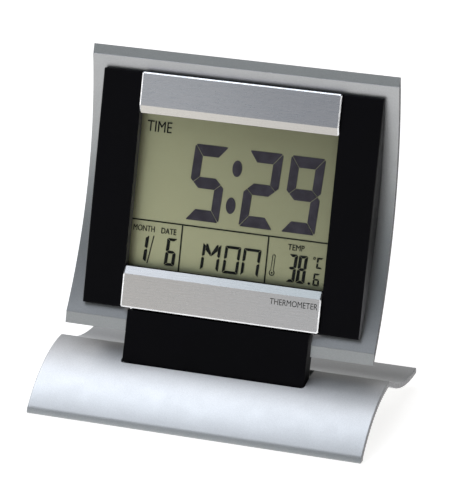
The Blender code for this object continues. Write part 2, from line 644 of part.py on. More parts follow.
def make_cover():
    """The black rear cover with its battery pocket, button holes, knob slot, sound holes and screw pads."""
    arc_radius = PLATE_RADIUS + PLATE_THICKNESS + GAP
    outline = arc_between(arc_radius, COVER_BOTTOM, COVER_TOP, 12)
    outline += [(9.5, COVER_TOP), (COVER_BACK, 63.0), (COVER_BACK, 4.5), (COVER_BACK - 2.0, COVER_BOTTOM)]
    cover = add_object("rear_cover", to_mesh(prism(outline, -COVER_HALF, COVER_HALF, "X"), "rear_cover"),
                       HEAD, "black_plastic")
    inner_back = COVER_BACK - COVER_WALL
    hollow = [(0.0, COVER_BOTTOM + COVER_WALL), (inner_back, COVER_BOTTOM + COVER_WALL), (inner_back, 62.5),
              (8.8, COVER_TOP - COVER_WALL), (0.0, COVER_TOP - COVER_WALL)]
    inner_half = COVER_HALF - COVER_WALL
    cut(cover, prism(hollow, -inner_half, inner_half, "X"), "hollow")
    notch = prism(rectangle(-NECK_SLOT_HALF, NECK_SLOT_HALF, 0.0, 6.0), -2.0, 11.2, "Y")
    cut(cover, notch, "neck_notch")
    x0, x1, z0, z1 = POCKET
    ledge = 1.8
    block = prism(rectangle(x0 - ledge, x1 + ledge, z0 - ledge, z1 + ledge), BOARD_REAR + 0.4,
                  inner_back + 0.4, "Y")
    weld(cover, block, "battery_box")
    weld(cover, prism(rectangle(x1, inner_half + 0.5, z0 - ledge, z1 + ledge), 14.7, inner_back + 0.4, "Y"),
         "door_ledge")
    cut(cover, prism(rectangle(x0, x1, z0, z1, 1.0), BEFORE, BEHIND, "Y"), "battery_pocket")
    dx0, dx1, dz0, dz1 = DOOR
    recess = prism(rectangle(dx0 - GAP, COVER_HALF + 2, dz0 - GAP, dz1 + GAP),
                   COVER_BACK - DOOR_THICKNESS - GAP, BEHIND, "Y")
    cut(cover, recess, "door_recess")
    places = mirrored(HOUSING_BOSSES + (NECK_BOSS,))
    pads = merge(*[prism(circle(x, z, COVER_PAD_RADIUS, SMALL_ROUND), BOSS_MEET + GAP, inner_back + 0.4, "Y")
                   for x, z in places])
    weld(cover, pads, "pads")
    holes = merge(*[prism(circle(x, z, BORE_RADIUS, SMALL_ROUND), COVER_SCREW_TIP, BEHIND, "Y")
                    for x, z in places])
    cut(cover, holes, "screw_holes")
    seats = merge(*[prism(circle(x, z, SCREW_HEAD + GAP, SMALL_ROUND), SCREW_SEAT, BEHIND, "Y")
                    for x, z in places])
    cut(cover, seats, "screw_seats")
    holes = merge(*[prism(circle(x, BUTTON_Z, BUTTON_RADIUS + GAP, ROUND), 14.0, BEHIND, "Y")
                    for x in BUTTON_X])
    cut(cover, holes, "button_holes")
    x, z = SLIDER
    half_x = SLIDER_KNOB[0] + SLIDER_TRAVEL / 2 + GAP
    half_z = SLIDER_KNOB[1] + GAP
    cut(cover, prism(rectangle(x - half_x, x + half_x, z - half_z, z + half_z), 14.0, BEHIND, "Y"),
        "knob_slot")
    x, z = BUZZER
    ring = [(x, z)] + circle(x, z, SOUND_RING, 6)
    holes = merge(*[prism(circle(hx, hz, SOUND_HOLE, SMALL_ROUND), 14.0, BEHIND, "Y") for hx, hz in ring])
    cut(cover, holes, "sound_holes")
    screws("cover_screw", HEAD, places, COVER_SCREW_TIP, SCREW_SEAT + GAP, "Y")


for leftover in list(bpy.data.objects):
    bpy.data.objects.remove(leftover)
MATERIALS = {key: make_material(key) for key in COLOURS}
FOOT = add_empty("foot_frame", (0.0, 0.0, 0.0))
HINGE = add_empty("fold_axis", (0.0, PIVOT_Y, PIVOT_Z), REST_LEAN)
HEAD = add_empty("face_frame", (0.0, -FACE_FORWARD, FACE_RISE))
HEAD.parent = HINGE

make_base()
make_bracket()
make_hinge()
make_feet()
make_neck()
make_plate()
make_housing()
make_trims()
make_display()
make_components()
make_battery()
make_buttons()
make_cover()
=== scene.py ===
import json
from math import asin, atan2, copysign, cos, pi, radians, sin

import bmesh
import bpy
from mathutils import Matrix, Vector


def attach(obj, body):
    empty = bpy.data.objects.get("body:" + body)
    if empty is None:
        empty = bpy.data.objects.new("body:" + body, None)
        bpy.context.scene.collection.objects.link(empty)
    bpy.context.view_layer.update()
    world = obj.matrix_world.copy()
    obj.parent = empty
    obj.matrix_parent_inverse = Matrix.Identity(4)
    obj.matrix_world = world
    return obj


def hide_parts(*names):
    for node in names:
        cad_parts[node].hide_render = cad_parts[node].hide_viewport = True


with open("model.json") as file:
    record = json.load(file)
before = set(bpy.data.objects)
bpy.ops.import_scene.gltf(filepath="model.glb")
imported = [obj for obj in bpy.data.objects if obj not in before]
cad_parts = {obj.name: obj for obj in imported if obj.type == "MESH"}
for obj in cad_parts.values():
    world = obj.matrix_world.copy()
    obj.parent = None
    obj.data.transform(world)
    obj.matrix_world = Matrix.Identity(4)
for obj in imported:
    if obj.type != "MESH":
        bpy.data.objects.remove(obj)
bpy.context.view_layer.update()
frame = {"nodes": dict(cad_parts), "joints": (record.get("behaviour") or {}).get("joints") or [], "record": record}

# Everything is shaped in millimetres and placed in the row frame in metres by place().
MM = 0.001
NODES = frame["nodes"]
JOINTS = {joint["name"]: joint for joint in frame["joints"]}

PIVOT = Vector(JOINTS["head_fold"]["pos_m"]) / MM
PRESS = Vector(JOINTS["mode_press"]["axis"])
LEAN = atan2(PRESS.z, -PRESS.y)


def corners(node, matrix):
    """Lowest and highest corner of a CAD node, in millimetres, in a given frame."""
    inverse = matrix.inverted()
    points = [inverse @ (vert.co / MM) for vert in NODES[node].data.vertices]
    low = Vector([min(p[i] for p in points) for i in range(3)])
    high = Vector([max(p[i] for p in points) for i in range(3)])
    return low, high


# The foot's frame is the row frame. In the face frame, y is the depth behind the housing's front and
# z the height above its lower edge, along the leaning face.
FOOT = Matrix.Identity(4)
HINGE = Matrix.Translation(PIVOT) @ Matrix.Rotation(-LEAN, 4, "X")
HOUSING_LOW = corners("front_housing", HINGE)[0]
FACE = HINGE @ Matrix.Translation((0.0, HOUSING_LOW.y, HOUSING_LOW.z))


def face_box(node):
    """Lowest and highest corner of a CAD node in the face frame, in millimetres."""
    return corners(node, FACE)


def foot_box(node):
    """Lowest and highest corner of a CAD node in the foot's frame, in millimetres."""
    return corners(node, FOOT)


def box_middle(box, across="xz"):
    """The middle of a (low, high) box along two axes."""
    return tuple((getattr(box[0], axis) + getattr(box[1], axis)) / 2 for axis in across)


# ---------------------------------------------------------------- mesh building

# Points nearer to each other than this, in millimetres, are one point.
SAME_POINT = 0.0005
# Faces of a CAD node that meet at less than this angle are one flat area.
FLAT = radians(1.0)
# The angles, in degrees, at which a round corner of a turned profile has its points.
ROUND = (0, 22, 45, 67, 90)


def add(name, data):
    """A new object in the scene."""
    obj = bpy.data.objects.new(name, data)
    bpy.context.scene.collection.objects.link(obj)
    return obj


def link(name, bm):
    """A mesh object in the scene from a bmesh."""
    mesh = bpy.data.meshes.new(name)
    bm.to_mesh(mesh)
    bm.free()
    return add(name, mesh)


def finished_mesh(obj):
    """A mesh of the object as its modifiers or text settings leave it."""
    graph = bpy.context.evaluated_depsgraph_get()
    return bpy.data.meshes.new_from_object(obj.evaluated_get(graph), depsgraph=graph)


def settle(obj):
    """Applies the object's modifiers to its mesh."""
    mesh = finished_mesh(obj)
    old = obj.data
    obj.modifiers.clear()
    obj.data = mesh
    bpy.data.meshes.remove(old)


def drop(obj):
    """Removes an object and its mesh."""
    mesh = obj.data
    bpy.data.objects.remove(obj)
    bpy.data.meshes.remove(mesh)


def boolean(obj, bm, operation="DIFFERENCE"):
    """Cuts a solid out of the object, or joins it on, or keeps the overlap."""
    tool = link("tool", bm)
    modifier = obj.modifiers.new("boolean", "BOOLEAN")
    modifier.operation = operation
    modifier.solver = "EXACT"
    modifier.object = tool
    settle(obj)
    drop(tool)


def join(obj, bm):
    """Joins a solid onto the object."""
    boolean(obj, bm, "UNION")


def soften(obj, width, segments=3, angle=35.0):
    """Rounds every edge sharper than an angle."""
    modifier = obj.modifiers.new("soften", "BEVEL")
    modifier.width = width
    modifier.segments = segments
    modifier.limit_method = "ANGLE"
    modifier.angle_limit = radians(angle)
    settle(obj)


def place(obj, body, slot, stands_for=(), crisp=50.0, material=None):
    """Finishes a piece: shading, metres, material, body and the CAD nodes it stands for; the slot names the
    material when no other is given.
    """
    mesh = obj.data
    bm = mesh_copy(mesh)
    bmesh.ops.remove_doubles(bm, verts=bm.verts, dist=SAME_POINT)
    bmesh.ops.dissolve_degenerate(bm, edges=bm.edges, dist=SAME_POINT)
    # The cuts may lose a triangle, which is put back so that the piece stays closed.
    bmesh.ops.holes_fill(bm, edges=[edge for edge in bm.edges if edge.is_boundary], sides=3)
    bm.to_mesh(mesh)
    bm.free()
    mesh.shade_smooth()
    mesh.set_sharp_from_angle(angle=radians(crisp))
    modifier = obj.modifiers.new("weighted", "WEIGHTED_NORMAL")
    modifier.keep_sharp = True
    settle(obj)
    obj.data.transform(Matrix.Scale(MM, 4) @ (FOOT if body == "base" else FACE))
    obj.data.name = obj.name
    obj.data.materials.clear()
    obj.data.materials.append(MATERIALS[material or slot])
    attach(obj, body)
    if stands_for:
        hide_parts(*stands_for)
    return obj


def face_outwards(bm):
    """Makes the faces of one closed solid point out."""
    bmesh.ops.recalc_face_normals(bm, faces=bm.faces)
    if bm.calc_volume(signed=True) < 0:
        bmesh.ops.reverse_faces(bm, faces=bm.faces)


def loft(rings, closed=False):
    """A solid through rings of points, capped at its two ends unless it closes on itself."""
    bm = bmesh.new()
    rings = [[bm.verts.new(point) for point in ring] for ring in rings]
    if closed:
        rings.append(rings[0])
    else:
        bm.faces.new(rings[0])
        bm.faces.new(rings[-1])
    for near, far in zip(rings, rings[1:]):
        for i in range(len(near)):
            j = (i + 1) % len(near)
            bm.faces.new((near[i], near[j], far[j], far[i]))
    face_outwards(bm)
    return bm


def lifted(point, along, axis):
    """A point of a flat outline, placed at a distance along the axis that the outline lacks."""
    index = "XYZ".index(axis)
    return (*point[:index], along, *point[index:])


def prism(outline, low, high, axis="Y"):
    """A solid from a closed outline, extruded along one axis.

    The outline's points are (y, z) for axis X, (x, z) for axis Y and (x, y) for axis Z.
    """
    return loft([[lifted(point, along, axis) for point in outline] for along in (low, high)])


def mesh_copy(mesh):
    """A bmesh of a mesh."""
    bm = bmesh.new()
    bm.from_mesh(mesh)
    return bm


def merge(parts):
    """Puts separate solids into one bmesh."""
    whole = bmesh.new()
    for part in parts:
        mesh = bpy.data.meshes.new("merge_step")
        part.to_mesh(mesh)
        part.free()
        whole.from_mesh(mesh)
        bpy.data.meshes.remove(mesh)
    return whole


def turned(centre, profile, sides=64, axis="Y"):
    """A solid of revolution from (along, radius) steps, along Y or Z, about a centre in the other two."""
    angles = [2 * pi * i / sides for i in range(sides)]
    return loft([[lifted((centre[0] + radius * cos(a), centre[1] + radius * sin(a)), along, axis)
                  for a in angles] for along, radius in profile])


def arc(centre, radius, start, sweep, steps):
    """Points of a circular arc from a start angle, in degrees, both ends included."""
    angles = [radians(start + sweep * step / steps) for step in range(steps + 1)]
    return [(centre[0] + radius * cos(a), centre[1] + radius * sin(a)) for a in angles]


def rectangle(x0, x1, z0, z1, radius=0.0, steps=6):
    """A rectangle's outline, with round corners when a radius is given."""
    if radius == 0.0:
        return [(x0, z0), (x1, z0), (x1, z1), (x0, z1)]
    places = ((x1 - radius, z0 + radius, -90), (x1 - radius, z1 - radius, 0),
              (x0 + radius, z1 - radius, 90), (x0 + radius, z0 + radius, 180))
    return [point for x, z, start in places for point in arc((x, z), radius, start, 90, steps)]


def circle(centre, radius, sides=48, squash=1.0):
    """A circle's outline, or an ellipse's when its second axis is squashed."""
    turn = 2 * pi / sides
    return [(centre[0] + radius * cos(turn * i), centre[1] + squash * radius * sin(turn * i))
            for i in range(sides)]


def bezier(p0, p1, p2, p3, count):
    """Points on a cubic curve, both ends included."""
    points = []
    for i in range(count + 1):
        t = i / count
        s = 1 - t
        weights = (s ** 3, 3 * s * s * t, 3 * s * t * t, t ** 3)
        points.append(tuple(sum(w * p[k] for w, p in zip(weights, (p0, p1, p2, p3))) for k in (0, 1)))
    return points


def offset_line(line, distance):
    """The line moved towards its lower side by a distance, along its normals."""
    moved = []
    for i, point in enumerate(line):
        a = line[max(i - 1, 0)]
        b = line[min(i + 1, len(line) - 1)]
        run = Vector((b[0] - a[0], b[1] - a[1])).normalized()
        moved.append((point[0] + run.y * distance, point[1] - run.x * distance))
    return moved


def turns(degrees):
    """(sine, cosine) pairs of angles."""
    return [(sin(radians(a)), cos(radians(a))) for a in degrees]


def flared_hole(centre, radius, inner, surface, outer, flare=0.3):
    """A round cutter along Y whose mouth widens where it leaves the surface."""
    lip = [(surface - flare * (1 - s), radius + flare * (1 - c)) for s, c in turns(ROUND)]
    return turned(centre, [(inner, radius)] + lip + [(outer, radius + flare)], 48)


def mirrored(points):
    """Each (x, other) point and its twin at -x."""
    return [(side * x, other) for x, other in points for side in (-1, 1)]


# ---------------------------------------------------------------- materials

def add_node(tree, kind, *values, **named):
    """A new shader node, its inputs filled in order or by name."""
    node = tree.nodes.new("ShaderNode" + kind)
    fill(tree, node, *values, **named)
    return node


def fill(tree, node, *values, **named):
    """Gives a node's inputs values or other nodes' outputs. An underscore in a name stands for a space."""
    for key, value in (*enumerate(values), *named.items()):
        socket = node.inputs[key.replace("_", " ") if isinstance(key, str) else key]
        if isinstance(value, bpy.types.NodeSocket):
            tree.links.new(value, socket)
        else:
            socket.default_value = value


def maths(tree, operation, *values, kind="Math"):
    """The result of a math node on constants or other nodes' outputs."""
    node = add_node(tree, kind, *values)
    node.operation = operation
    return node.outputs["Value"]


class Surface:
    """A Principled material whose colour, roughness and bump come from procedural patterns in millimetres."""

    def __init__(self, name, roughness, metallic=0.0, **sockets):
        self.material = bpy.data.materials.new(name)
        self.material.use_nodes = True
        self.tree = self.material.node_tree
        self.shader = self.tree.nodes["Principled BSDF"]
        fill(self.tree, self.shader, Roughness=roughness, Metallic=metallic, **sockets)
        self.coordinates = self.node("TexCoord")
        self.bump_output = None

    def link(self, output, target):
        self.tree.links.new(output, target)

    def node(self, kind, **sockets):
        return add_node(self.tree, kind, **sockets)

    def scaled(self, stretch):
        """Object coordinates in millimetres, squeezed along each axis."""
        scale = [s / MM for s in stretch]
        return self.node("Mapping", Vector=self.coordinates.outputs["Object"], Scale=scale).outputs["Vector"]

    def noise(self, size, detail=3.0, stretch=(1, 1, 1), roughness=0.55):
        """Noise with features of a size in millimetres."""
        vector = self.scaled(stretch)
        node = self.node("TexNoise", Vector=vector, Scale=1.0 / size, Detail=detail, Roughness=roughness)
        return node.outputs["Fac"]

    def cells(self, size):
        """A random value for each small cell of a size in millimetres."""
        node = self.node("TexVoronoi", Vector=self.scaled((1, 1, 1)), Scale=1.0 / size)
        return self.node("SeparateColor", Color=node.outputs["Color"]).outputs["Red"]

    def slope(self, direction):
        """Distance in millimetres along a direction."""
        return maths(self.tree, "DOT_PRODUCT", self.scaled((1, 1, 1)), direction, kind="VectorMath")

    def range(self, value, low, high, start=0.3, end=0.7):
        """A pattern value remapped to a range, smoothly."""
        node = self.node("MapRange", Value=value, From_Min=start, From_Max=end, To_Min=low, To_Max=high)
        node.interpolation_type = "SMOOTHSTEP"
        return node.outputs["Result"]

    def beyond(self, box, fade):
        """0 inside a box on the floor, rising to 1 over a distance outside it."""
        shares = []
        for direction, low, high in (((1, 0, 0), *box[:2]), ((0, 1, 0), *box[2:])):
            offset = maths(self.tree, "SUBTRACT", self.slope(direction), (low + high) / 2)
            distance = maths(self.tree, "ABSOLUTE", offset)
            half = (high - low) / 2
            shares.append(self.range(distance, 0.0, 1.0, half, half + fade))
        return maths(self.tree, "MAXIMUM", *shares)

    def blend(self, share, first, second):
        """A colour between two, each a colour or another node's output."""
        node = self.node("Mix")
        node.data_type = "RGBA"
        for index, value in ((0, share), (6, first), (7, second)):
            if isinstance(value, tuple):
                node.inputs[index].default_value = (*value, 1.0)
            else:
                self.link(value, node.inputs[index])
        return node.outputs[2]

    def colour(self, output):
        self.link(output, self.shader.inputs["Base Color"])

    def roughness(self, output):
        self.link(output, self.shader.inputs["Roughness"])

    def mottled(self, base, size, detail, dark, light):
        """A colour that drifts between a darker and a lighter tone."""
        share = self.range(self.noise(size, detail), 0.0, 1.0)
        self.colour(self.blend(share, shade(base, dark), shade(base, light)))

    def worn(self, size, detail, low, high):
        """A roughness that drifts between two values."""
        self.roughness(self.range(self.noise(size, detail), low, high))

    def bump(self, height, depth):
        """Adds a relief of a depth in millimetres."""
        node = self.node("Bump", Strength=1.0, Distance=depth * MM, Height=height)
        if self.bump_output:
            self.link(self.bump_output, node.inputs["Normal"])
        self.bump_output = node.outputs["Normal"]
        self.link(self.bump_output, self.shader.inputs["Normal"])


# Where the painted light and shade in a finish starts and stops changing, in millimetres: the paint and the bars
# are shaded from left to right, the housing's sides lit low and fading upward, and the display's glass along a
# slant.
PAINT_SHADE_FADE = (-10.0, 57.0)
BAR_SHADE_FADE = (-34.0, 34.0)
SIDE_LIGHT_FADE = (30.0, 62.0)
GLASS_LIGHT_SLANT = (0.6, 0.0, 0.8)
GLASS_LIGHT_FADE = (-2.3, 107.7)


def shade(rgb, factor):
    """A colour made darker or lighter."""
    return tuple(min(1.0, c * factor) for c in rgb)


def silver_paint(name, metallic, left, right):
    """Satin metallic paint: fine flake, faint orange peel, and a painted shade from its left end's colour to its
    right end's.
    """
    s = Surface(name, 0.40, metallic)
    # The share of the right end's colour, for the painted shade from left to right.
    along = s.range(s.slope((1, 0, 0)), 0.0, 1.0, *PAINT_SHADE_FADE)

    def shaded_ends(factor):
        return s.blend(along, shade(left, factor), shade(right, factor))

    slow = s.range(s.noise(28.0, 2.0), 0.0, 1.0)
    tone_and_shade = s.blend(slow, shaded_ends(0.98), shaded_ends(1.02))
    flake = s.range(s.cells(0.13), 0.0, 1.0, 0.0, 1.0)
    grain = s.blend(flake, shaded_ends(0.86), shaded_ends(1.14))
    s.colour(s.blend(s.range(s.noise(0.35, 2.0), 0.35, 0.65), tone_and_shade, grain))
    s.worn(5.0, 4.0, 0.395, 0.425)
    s.bump(s.noise(0.9, 2.0), 0.006)
    s.bump(flake, 0.0015)
    return s.material


def black_plastic():
    """Fine spark-eroded matte black moulding."""
    base = (0.0006, 0.0004, 0.0014)
    s = Surface("black_plastic", 0.55, 0.0, Specular_IOR_Level=0.09)
    s.mottled(base, 16.0, 4.0, 0.8, 1.3)
    s.worn(6.0, 5.0, 0.50, 0.60)
    s.bump(s.noise(0.22, 3.0), 0.010)
    s.bump(s.noise(0.07, 1.0), 0.004)
    return s.material


def black_side():
    """The housing's side walls: a smoother black moulding, made paler low down by painted light."""
    s = Surface("black_side", 0.46, 0.0, Specular_IOR_Level=0.2)
    # Painted light: pale grey low down, fading to black at the top.
    height = s.range(s.slope((0, 0, 1)), 0.0, 1.0, *SIDE_LIGHT_FADE)
    tone_and_shade = s.blend(height, (0.15, 0.15, 0.155), (0.004, 0.004, 0.004))
    s.colour(s.blend(s.range(s.noise(6.0, 3.0), 0.0, 0.15), tone_and_shade, (0.02, 0.02, 0.02)))
    s.worn(2.4, 4.0, 0.42, 0.5)
    s.bump(s.noise(0.2, 3.0), 0.003)
    return s.material


def brushed_bar(name, left, right):
    """Aluminium brushed along its length, with fine long scratches and a painted shade from its left end's colour
    to its right end's.
    """
    s = Surface(name, 0.3, 1.0)
    # The share of the right end's colour, for the painted shade along the bar.
    along = s.range(s.slope((1, 0, 0)), 0.0, 1.0, *BAR_SHADE_FADE)

    def tone_and_shade(factor):
        return s.blend(along, shade(left, factor), shade(right, factor))

    fine = s.noise(0.16, 4.0, (0.03, 1, 1), 0.7)
    long = s.noise(0.5, 3.0, (0.008, 1, 1), 0.6)
    streaks = s.blend(s.range(fine, 0.0, 1.0), tone_and_shade(0.90), tone_and_shade(1.10))
    s.colour(s.blend(s.range(long, 0.25, 0.75), streaks, tone_and_shade(1.02)))
    s.roughness(s.range(fine, 0.24, 0.36))
    s.bump(fine, 0.006)
    s.bump(long, 0.004)
    return s.material


def clear_window():
    """Clear acrylic that lets the display's light through, with gloss that grows at shallow angles."""
    s = Surface("clear_window", 0.08, 0.0, Specular_IOR_Level=0.5)
    facing = s.node("LayerWeight", Blend=0.25)
    s.link(s.range(facing.outputs["Facing"], 0.02, 0.35, 0.1, 1.0), s.shader.inputs["Alpha"])
    s.colour(s.blend(s.range(s.noise(20.0), 0.0, 1.0), (0.020, 0.021, 0.020), (0.026, 0.027, 0.026)))
    s.worn(12.0, 4.0, 0.04, 0.10)
    s.bump(s.noise(6.0, 2.0), 0.002)
    return s.material


def display_glass():
    """Olive reflective display: fine horizontal grain behind a polariser, a little uneven, with painted light
    towards the lower left and painted shade towards the upper right.
    """
    base = (0.455, 0.448, 0.277)
    s = Surface("display_glass", 0.5, 0.55, Specular_IOR_Level=0.2)
    grain = s.range(s.noise(0.12, 2.0), 0.0, 1.0)
    # near is a lit copy and far a shaded copy of the olive; painted light and shade blend them along a slant.
    near = s.blend(grain, shade(base, 1.34), shade(base, 1.46))
    far = s.blend(grain, shade(base, 0.58), shade(base, 0.64))
    s.colour(s.blend(s.range(s.slope(GLASS_LIGHT_SLANT), 0.0, 1.0, *GLASS_LIGHT_FADE), near, far))
    s.worn(4.0, 3.0, 0.38, 0.46)
    s.bump(s.noise(0.15, 2.0), 0.002)
    return s.material


def display_ink(name, base):
    """The display's dark characters, a cool charcoal with slightly uneven density."""
    s = Surface(name, 0.4, 0.0, Specular_IOR_Level=0.1)
    s.mottled(base, 3.0, 3.0, 0.85, 1.2)
    s.worn(1.0, 2.0, 0.34, 0.46)
    s.bump(s.noise(0.2, 2.0), 0.001)
    return s.material


def moulded(name, base, low, high, grain, depth, specular):
    """A plain moulded or rubber surface with a grain."""
    s = Surface(name, (low + high) / 2, 0.0, Specular_IOR_Level=specular)
    s.mottled(base, grain * 30, 3.0, 0.85, 1.15)
    s.worn(grain * 12, 4.0, low, high)
    s.bump(s.noise(grain, 3.0), depth)
    return s.material


def metal(name, base, low, high, grain, depth):
    """Bare or plated metal with fine machining marks and patches of tarnish."""
    s = Surface(name, (low + high) / 2, 1.0)
    s.mottled(base, grain * 20, 5.0, 0.86, 1.06)
    s.worn(grain * 8, 4.0, low, high)
    s.bump(s.noise(grain, 3.0), depth)
    return s.material


def circuit_board():
    """Green solder mask with copper traces showing faintly beneath."""
    s = Surface("circuit_board", 0.35, 0.0, Specular_IOR_Level=0.5)
    turn = s.node("Mapping", Vector=s.scaled((1, 1, 1)), Rotation=(pi / 2, 0.0, 0.0))
    greens = {"Color1": (0.012, 0.12, 0.05, 1), "Color2": (0.014, 0.14, 0.06, 1)}
    traces = s.node("TexBrick", Vector=turn.outputs["Vector"], Scale=0.35, Mortar_Size=0.06,
                    Mortar=(0.05, 0.24, 0.10, 1), **greens)
    s.colour(s.blend(s.range(s.noise(7.0), 0.0, 0.4), traces.outputs["Color"], (0.01, 0.10, 0.045)))
    s.worn(2.0, 3.0, 0.3, 0.42)
    s.bump(traces.outputs["Fac"], 0.02)
    return s.material


# Each paint or brushed finish is (colour at the left end, colour at the right end); the change between the two
# ends is a painted shade.
SHADED_FOOT_SILVER = ((0.567, 0.575, 0.583), (0.498, 0.505, 0.512))
PLATE_SILVER = ((0.432, 0.435, 0.438), (0.432, 0.435, 0.438))
# The brushed finishes are lit and shaded copies of one aluminium, with painted light and shade: the upper bar and
# the upper chamfer are shaded copies, the lower chamfer a lit copy.
BRUSHED_LIT_AND_SHADED = {
    "brushed_bar": ((0.643, 0.588, 0.563), (0.603, 0.565, 0.563)),
    "upper_brushed": ((0.624, 0.593, 0.615), (0.469, 0.448, 0.475)),
    "lower_chamfer": ((0.697, 0.689, 0.688), (0.525, 0.549, 0.542)),
    "upper_chamfer": ((0.551, 0.529, 0.491), (0.494, 0.474, 0.448)),
}
# Each moulding is (colour, lowest roughness, highest roughness, grain, depth of grain, specular level).
MOULDED = {
    # The window's walls are a paler copy of the black moulding: painted light.
    "window_wall": ((0.046, 0.046, 0.05), 0.42, 0.5, 0.2, 0.003, 0.35),
    "rear_plastic": ((0.010, 0.010, 0.011), 0.42, 0.55, 0.12, 0.008, 0.3),
    "carrier_plastic": ((0.03, 0.03, 0.03), 0.45, 0.6, 0.3, 0.008, 0.4),
    "contact_rubber": ((0.26, 0.26, 0.30), 0.6, 0.75, 0.1, 0.01, 0.4),
    "epoxy": ((0.012, 0.012, 0.012), 0.2, 0.35, 0.8, 0.02, 0.4),
    "button_plastic": ((0.16, 0.16, 0.17), 0.42, 0.55, 0.12, 0.006, 0.4),
    "foot_rubber": ((0.018, 0.018, 0.019), 0.7, 0.85, 0.25, 0.02, 0.3),
}
# Each metal is (colour, lowest roughness, highest roughness, grain, depth of grain).
METALS = {
    # The sheets' end faces are darker copies of the silver paint: painted shade.
    "foot_edge": ((0.21, 0.21, 0.215), 0.38, 0.5, 0.12, 0.006),
    "plate_edge": ((0.05, 0.05, 0.053), 0.38, 0.5, 0.12, 0.006),
    "polished_edge": ((0.93, 0.93, 0.94), 0.22, 0.34, 0.3, 0.001),
    "dark_steel": ((0.05, 0.05, 0.052), 0.4, 0.55, 0.15, 0.003),
    "steel": ((0.50, 0.50, 0.51), 0.24, 0.36, 0.15, 0.003),
    "brass": ((0.68, 0.47, 0.20), 0.28, 0.42, 0.2, 0.003),
    "bright_steel": ((0.62, 0.62, 0.63), 0.16, 0.28, 0.2, 0.002),
}
MATERIALS = {
    "foot_paint": silver_paint("foot_paint", 0.62, *SHADED_FOOT_SILVER),
    "plate_paint": silver_paint("plate_paint", 0.92, *PLATE_SILVER),
    "black_plastic": black_plastic(),
    "black_side": black_side(),
    "clear_window": clear_window(),
    "display_glass": display_glass(),
    "display_ink": display_ink("display_ink", (0.058, 0.052, 0.066)),
    "fine_ink": display_ink("fine_ink", (0.014, 0.015, 0.013)),
    "circuit_board": circuit_board(),
}
for kind, finishes in ((brushed_bar, BRUSHED_LIT_AND_SHADED), (moulded, MOULDED), (metal, METALS)):
    for finish_name, values in finishes.items():
        MATERIALS[finish_name] = kind(finish_name, *values)


# ---------------------------------------------------------------- foot

SHEET = 1.9
FOOT_LOW, FOOT_HIGH = foot_box("base_shell")
# The upper line of the foot as (y, z): its ends, its crest, and the slope and reach of its two curves.
CREST = (-1.3, FOOT_HIGH.z)
FRONT_EDGE = (-31.33, 1.7)
FRONT_SLOPE = radians(46.6)
FRONT_REACH = 14.4
REAR_EDGE = (31.46, 6.3)
REAR_SLOPE = radians(1.2)
REAR_REACH = 20.5
# The slot behind the neck as x low, x high, y low, y high.
SLOT = (-31.7, 31.7, PIVOT.y - 2.85, PIVOT.y + 12.6)
BORE = 1.05
SCREW_HEAD = 1.9
SCREW_SHANK = 0.7
SCREW_HEIGHT = 0.7
CLEARANCE = 0.3


def foot_line(count):
    """The foot's upper line, front to rear, as (y, z)."""
    rise = (FRONT_EDGE[0] + FRONT_REACH * cos(FRONT_SLOPE),
            FRONT_EDGE[1] + FRONT_REACH * sin(FRONT_SLOPE))
    run = (REAR_EDGE[0] - REAR_REACH * cos(REAR_SLOPE), REAR_EDGE[1] - REAR_REACH * sin(REAR_SLOPE))
    arch = bezier(FRONT_EDGE, rise, (CREST[0] - 8.8, CREST[1]), CREST, count)
    tray = bezier(CREST, (CREST[0] + 3.2, CREST[1]), run, REAR_EDGE, count)
    return arch + tray[1:]


def make_foot():
    """The bent silver sheet with rounded edges, its bosses and the slot behind the neck."""
    top = foot_line(40)
    floor = FOOT_LOW.z
    under = [point for point in offset_line(top, SHEET) if point[1] > floor + 0.6]
    front = [(FOOT_LOW.y + 0.02, floor), (FRONT_EDGE[0] + 2.0, floor)]
    sheet = link("foot_sheet", prism(top + under[::-1] + front[::-1], FOOT_LOW.x, FOOT_HIGH.x, "X"))
    soften(sheet, 0.28)
    boolean(sheet, prism(rectangle(*SLOT, 1.2), 0.0, 25.0, "Z"))
    places = [box_middle(foot_box(f"bracket_screw_{n}"), "xy") for n in (1, 2, 3, 4)]
    bracket_top = foot_box("front_foot_left")[1].z + 0.3 + 1.6
    middle = offset_line(top, SHEET / 2)
    below = [(middle[-1][0], 0.0), (middle[0][0], 0.0)]
    post = [(bracket_top + 0.3, 2.1), (bracket_top + 0.6, 2.4), (20.0, 2.4)]
    posts = link("posts", merge([turned(p, post, 32, "Z") for p in places]))
    boolean(posts, prism(middle + below, FOOT_LOW.x, FOOT_HIGH.x, "X"), "INTERSECT")
    join(sheet, mesh_copy(posts.data))
    drop(posts)
    boolean(sheet, merge([turned(p, [(0.0, BORE), (7.0, BORE)], 24, "Z") for p in places]))
    place(sheet, "base", "silver_paint", ["base_shell"], material="foot_paint")
    # The foot's end faces take a darker copy of the paint: painted shade.
    trim_ends(sheet, "foot_edge")


def from_node(name, node, matrix):
    """A working copy of a CAD node in millimetres in a given frame, with its flat areas merged."""
    bm = mesh_copy(NODES[node].data)
    bmesh.ops.transform(bm, matrix=matrix.inverted() @ Matrix.Scale(1 / MM, 4), verts=bm.verts)
    bmesh.ops.remove_doubles(bm, verts=bm.verts, dist=0.001)
    bmesh.ops.dissolve_limit(bm, angle_limit=FLAT, verts=bm.verts, edges=bm.edges)
    return link(name, bm)


def make_bracket():
    """The moulded black bracket under the arch, its edges rounded, with stiffening ribs by the ears."""
    bracket = from_node("arch_bracket", "hinge_bracket", FOOT)
    soften(bracket, 0.15, 2, 40.0)
    place(bracket, "base", "black_plastic", ["hinge_bracket"])


